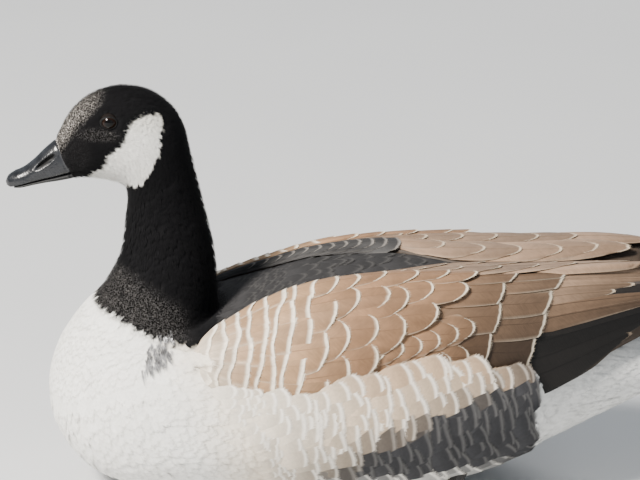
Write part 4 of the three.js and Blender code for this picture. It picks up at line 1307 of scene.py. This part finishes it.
def wing(side, name, seed):
    feathers = Feathers(seed, turned_over=side < 0)
    draw = feathers.draw
    wing_bed(feathers, side)
    for i in range(PRIMARIES):
        share = i / (PRIMARIES - 1)
        long = PRIMARY_TIP - 100 * (1 - share) ** 1.5 - PRIMARY_ROOT
        up_share = 0.1 + 0.78 * share
        place = set_on_wing(side, PRIMARY_ROOT, long, up_share, 0.16, -3.0 + 0.06 * i, 0.009, 0.5)
        tone = draw.uniform(0.5, 1.5) * (1 + 12 * smooth(0.45, 1.0, share))
        feathers.feather(place, long, 9.0, np.array(PRIMARY_BROWN) * tone, PRIMARY_EDGE, 0.25, 0.75)
    for tip, share in LONG_TERTIALS:
        long = tip - TERTIAL_ROOT
        place = set_on_wing(side, TERTIAL_ROOT, long, share, 0.1, -2.7, 0.012, 0.7)
        tone = draw.uniform(0.75, 1.1)
        brown = np.array(REAR_BROWN if share < DEEP_TERTIALS else TERTIAL_BROWN) * tone
        feathers.feather(place, long, 10.0, brown, TERTIAL_EDGE, 0.3, 0.6)
    wing_row(feathers, side, SECONDARIES, -2.2, 1.9)
    wing_row(feathers, side, GREATER_COVERTS, -1.6, 2.0)
    for row in reversed(LESSER_COVERTS):
        wing_row(feathers, side, row, -0.6, 1.8)
    for tip, share in reversed(ROOF_TIPS):
        root_x = tip - 88 - 30 * smooth(430, 500, tip)
        long = tip + draw.uniform(-2, 2) - root_x
        tone = draw.uniform(0.85, 1.15)
        place = set_on_wing(side, root_x, long, share, 0.34, -1.4, 0.034, 0.8, draw.normal(0, 0.02))
        feathers.feather(place, long, 15.0, np.array(TERTIAL_BROWN) * tone, TERTIAL_EDGE, 0.3, 0.5)
    for tip in reversed(INNER_TIPS):
        root_x = tip - INNER_LONG
        place = set_on_wing(side, root_x, INNER_LONG, 1.75, 0.9, -0.8, 0.04, 0.5, draw.normal(0, 0.02))
        feathers.feather(place, INNER_LONG, 11.0, INNER_SLATE_AND_SHADOW, INNER_EDGE_AND_SHADOW, 0.3, 0.4)
    for row in reversed(SCAPULARS):
        wing_row(feathers, side, row, 0.0, 2.5)
    return feathers.piece(name, "brown_feather")


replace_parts(wing(-1, "left_wing_feathers", 7), "wing_left")
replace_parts(wing(1, "right_wing_feathers", 22), "wing_right")

# %% [markdown]
# The tail is a short black fan of sixteen broad feathers, arched over the white feathers beneath. The
# outer ones lie lowest, so each shows only a strip.

# %% Tail
TAIL_ROOT = 529
TAIL_ROOT_Z = 117
TAIL_TIP = 610
TAIL_PIVOT = 470
TAIL_SPREAD = math.radians(2.9)
TAIL_COUNT = 16
TAIL_HALF = 9.2  # half the width of one feather
TAIL_BLACK = (0.012, 0.011, 0.011)
TAIL_EDGE = (0.045, 0.04, 0.036)


def tail_height(x, y):
    """The fan rises to the rear and falls away to its sides."""
    return TAIL_ROOT_Z + (x - TAIL_ROOT) * 0.09 - 0.0024 * y**2


def tail():
    feathers = Feathers(31, turned_over=True)
    draw = feathers.draw
    for order in range(TAIL_COUNT):
        step = order - (TAIL_COUNT - 1) / 2
        turn = step * TAIL_SPREAD
        long = (TAIL_TIP - TAIL_PIVOT - 1.1) * (1 - 0.0012 * step**2) + draw.uniform(-1, 0)
        start = TAIL_ROOT - TAIL_PIVOT - 22
        level = -0.42 * abs(step)

        def place(f, s, up):
            reach = start + (long - start) * f
            aside = s * TAIL_HALF * (0.7 + 0.3 * f)
            x = TAIL_PIVOT + reach * math.cos(turn) - aside * math.sin(turn)
            y = reach * math.sin(turn) + aside * math.cos(turn)
            outer = s * (1 if step > 0 else -1)
            z = tail_height(x, y) + level - 0.5 * outer + up - 0.6
            return np.stack([x, y, z], -1)

        feathers.feather(place, long - start, TAIL_HALF, TAIL_BLACK, TAIL_EDGE, 0.45, 0.25)
    return feathers.piece("tail_feathers", "dark_feather")


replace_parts(tail(), "tail")

# %% [markdown]
# The bill is horn: a ridge that falls away to a blunt tip with a hard nail, slots for nostrils on either
# side, and a mouth line that curves up to the cheek. A carved block could be sculpted, but rings between
# ridge and mouth line keep it true to the profile, and the nostrils are pressed in where they belong.

# %% Bill
# Each cut: ridge (x, z), mouth line (x, z), half width.
BILL_CUTS = np.array([
    (9.2, 296.3, 21.6, 270, 13.2), (0, 288, 11, 267.2, 12.8), (-8, 279.8, 0.5, 264.6, 12),
    (-16, 273.2, -10, 261.8, 11), (-24, 269, -20, 258.8, 9.8), (-29.5, 265.2, -27.5, 256.8, 7),
    (-31.7, 260.8, -31, 257.6, 2.6),
])
LOWER_BILL_END = 4.6  # the lower half stops between two cuts
LOWER_BILL_DEPTH = curve_through([0, 1, 2, 3, 4, LOWER_BILL_END], [5.8, 5, 4, 3.4, 2.8, 1.2])
BILL_RINGS = 84
BILL_AROUND = 80
ROUNDNESS = 2 / 2.3
NOSTRIL = ((2.0, 280.4), 12.0, 2.5, 3.8, 0.68)  # place, half length, half height, depth, lean
NAIL = (-27.5, 6.2, 5.6)  # x, half length, half width
bill_curves = [curve_through(np.arange(len(BILL_CUTS)), BILL_CUTS[:, k]) for k in range(5)]


def bill_part(name, upper, cad_node):
    """A closed loft of rings between the ridge and the mouth line, or below it."""
    last = len(BILL_CUTS) - 1 if upper else LOWER_BILL_END
    along, angle = ring_grid(np.linspace(0, 1, BILL_RINGS) ** 0.9 * last, BILL_AROUND)
    ridge_x, ridge_z, mouth_x, mouth_z, half = (curve(along) for curve in bill_curves)
    if upper:
        top = (ridge_x, ridge_z)
        low = (mouth_x, mouth_z + 0.15)
        wide = 0.2
    else:
        depth = LOWER_BILL_DEPTH(along)
        top = (mouth_x, mouth_z + 0.05)
        low = (mouth_x + 0.427 * depth, mouth_z - 0.904 * depth)
        half = half * 0.99
        wide = 0.75
    s = power(np.sin(angle), ROUNDNESS)
    t = np.where(s > 0, wide + (1 - wide) * s, wide + wide * s)
    x = low[0] + (top[0] - low[0]) * t
    z = low[1] + (top[1] - low[1]) * t
    sharp = (s < 0) if upper else (s > 0)  # the cutting edges meet at the mouth line
    y = half * np.where(sharp, power(np.cos(angle), 0.3), power(np.cos(angle), ROUNDNESS))
    nostril_shade = np.zeros_like(y)
    if upper:
        (hole_x, hole_z), hole_long, hole_high, deep, lean = NOSTRIL
        across = (x - hole_x) * math.cos(lean) + (z - hole_z) * math.sin(lean)
        up = (z - hole_z) * math.cos(lean) - (x - hole_x) * math.sin(lean)
        far = np.hypot(across / hole_long, up / hole_high)
        carved = -deep * smooth(1.0, 0.55, far) + 0.35 * smooth(1.7, 1.25, far) * smooth(0.9, 1.2, far)
        # The inside of each nostril darkens: painted shade in the hollow.
        nostril_shade = smooth(0.95, 0.65, far)
        y = y + np.sign(y) * carved * smooth(2, 5, np.abs(y))
        y = y + 0.3 * np.sign(y) * smooth(0.25, 0.1, t)
        nail_x, nail_long, nail_wide = NAIL
        nail = smooth(1.1, 0.9, np.hypot((x - nail_x) / nail_long, y / nail_wide)) * smooth(0.4, 0.6, t)
        x = x - 0.2 * nail
        z = z + 0.25 * nail
    sleeve = smooth(0.12, 0, along)  # the first rings run on under the feathers
    x = x + 1.6 * sleeve
    y = y * (1 - (0.05 if upper else 0.2) * sleeve)
    faces = grid_faces(BILL_RINGS, BILL_AROUND, closed=True, capped=True)
    uv = np.stack([angle / (2 * np.pi) * 0.9, along / len(BILL_CUTS)], -1)
    # The lower half keeps half the tint: painted shade under the overhang of the upper half.
    tint = np.repeat(1 - 0.92 * nostril_shade.reshape(-1, 1), 3, axis=1) * (1.0 if upper else 0.5)
    piece = build(name, np.stack([x, y, z], -1), faces, uv, tint, BILL_HORN)
    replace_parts(piece, cad_node)


bill_part("upper_bill", True, "bill_upper")
bill_part("lower_bill", False, "bill_lower")
print("bill made, nostrils", NOSTRIL[1] * 2, "mm long")

# %% [markdown]
# The eyes are dark brown and wet: a round ball with a slightly bulging cornea, so a small highlight sits
# on them. A thin rim of bare lid closes round each.

# %% Eyes
EYE_SIDE = 19.2  # how far out the middle of each eyeball lies
BALL = 7.45
IRIS_REACH = 5.6
PUPIL_REACH = 3.4
EYE_ROWS = 60
EYE_AROUND = 64
POLE = 0.001  # how far from the pole its first and last ring of points lie, in radians
PUPIL_BLACK = (0.002, 0.002, 0.002)
IRIS_DARK = (0.007, 0.0035, 0.0025)
IRIS_BROWN = (0.014, 0.0065, 0.004)
EYE_RIM = (0.01, 0.008, 0.007)
LID_RING = (6.0, 0.7, 1.14, 0.84)  # ring radius, thickness, longer, higher
LID_ROWS = 90
LID_AROUND = 14


def eye_material():
    finish = Finish("eye", 0.1)
    finish.tinted(0.25, 900)
    finish.set("Specular IOR Level", 0.18)
    return finish.material


EYE_GLOSS = eye_material()


def eye(side, name, cad_node):
    polar, turn = ring_grid(np.linspace(POLE, np.pi - POLE, EYE_ROWS), EYE_AROUND)
    bulge = BALL + 0.45 * smooth(0.75, 0.2, polar)
    across = bulge * np.sin(polar)
    x = across * np.cos(turn)
    z = across * np.sin(turn)
    points = np.stack([EYE_AT[0] + x, side * (EYE_SIDE + bulge * np.cos(polar)), EYE_AT[1] + z], -1)
    iris = mix(IRIS_DARK, IRIS_BROWN, smooth(PUPIL_REACH, IRIS_REACH, across))
    tint = mix(PUPIL_BLACK, iris, smooth(PUPIL_REACH - 0.2, PUPIL_REACH + 0.2, across))
    tint = mix(tint, EYE_RIM, smooth(IRIS_REACH - 0.2, IRIS_REACH + 0.2, across))
    uv = 0.5 + np.stack([x, z], -1) / 20
    piece = build(name, points, grid_faces(EYE_ROWS, EYE_AROUND, closed=True), uv, tint, EYE_GLOSS)
    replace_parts(piece, cad_node)


def lid(side, name):
    turn, tube = ring_grid(np.arange(LID_ROWS + 1) * 2 * np.pi / LID_ROWS, LID_AROUND)
    ring, thick, longer, higher = LID_RING
    thick = thick * (1 + 0.12 * np.cos(34 * turn) * (np.cos(tube) > 0))
    reach = ring + thick * np.cos(tube)
    along = reach * longer * np.cos(turn)
    up = reach * higher * np.sin(turn)
    dome = np.sqrt(np.maximum(BALL**2 - along**2 * 0.72 - up**2 * 0.9, 0.5))
    y = side * (EYE_SIDE + dome * 0.82 + thick * np.sin(tube) * 0.9 + 0.6)
    points = np.stack([EYE_AT[0] + along, y, EYE_AT[1] + up], -1)
    faces = grid_faces(LID_ROWS + 1, LID_AROUND, closed=True)
    uv = np.stack([turn / (2 * np.pi), tube / (2 * np.pi) * 0.9], -1)
    build(name, points, faces, uv, np.full(points.shape, 0.01), LID_SKIN)


for side, word in ((-1, "left"), (1, "right")):
    eye(side, f"{word}_eyeball", f"eye_{word}")
    lid(side, f"{word}_lid")
print("eyeballs", 2 * BALL, "mm across")

# %% [markdown]
# The feet are tucked under the belly, and hardly show. They keep the solids' own shape: toes, webs and
# claws, with black scaly skin.

# %% Legs and feet
for node in ("leg_left", "leg_right", "foot_left", "foot_right"):
    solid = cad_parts[node]
    solid.data.materials.clear()
    solid.data.materials.append(LEG_SKIN)
print("legs and feet carry", LEG_SKIN.name)

# %% [markdown]
# The bird rests on a plain pale floor. Soft daylight comes from high on the bird's left front, with a
# weak fill so that the underside keeps its form.

# %% Floor and light
FLOOR_HALF = 6.0
LIT_AT = Vector((0, 0, 0.15))  # the middle of the bird, which every lamp faces
floor_finish = Finish("floor", 0.8)
floor_finish.ramp(floor_finish.noise(3, 2), (0.6, 0.61, 0.62), (0.66, 0.67, 0.68))
floor_mesh = bpy.data.meshes.new("floor")
corners = [(x * FLOOR_HALF, y * FLOOR_HALF, 0) for x, y in ((-1, -1), (1, -1), (1, 1), (-1, 1))]
floor_mesh.from_pydata(corners, [], [(0, 1, 2, 3)])
floor_mesh.materials.append(floor_finish.material)
floor = in_scene("floor", floor_mesh)


def soft_light(name, place, size, watts, tone):
    data = bpy.data.lights.new(name, "AREA")
    data.size = size
    data.energy = watts
    data.color = tone
    lamp = in_scene(name, data)
    lamp.location = place
    lamp.rotation_euler = facing(LIT_AT - Vector(place))


soft_light("key", (-2.0, -1.5, 2.5), 0.8, 350, (1.0, 0.95, 0.88))
soft_light("fill", (1.8, -2.4, 1.2), 2.0, 10, (0.92, 0.96, 1.0))
soft_light("rear", (0.6, 2.2, 2.2), 1.6, 30, (1.0, 1.0, 1.0))
world = bpy.data.worlds.new("world")
world.use_nodes = True
sky = world.node_tree.nodes["Background"]
sky.inputs["Color"].default_value = (0.8, 0.87, 0.95, 1)
sky.inputs["Strength"].default_value = 0.42
bpy.context.scene.world = world
print("three soft lights")
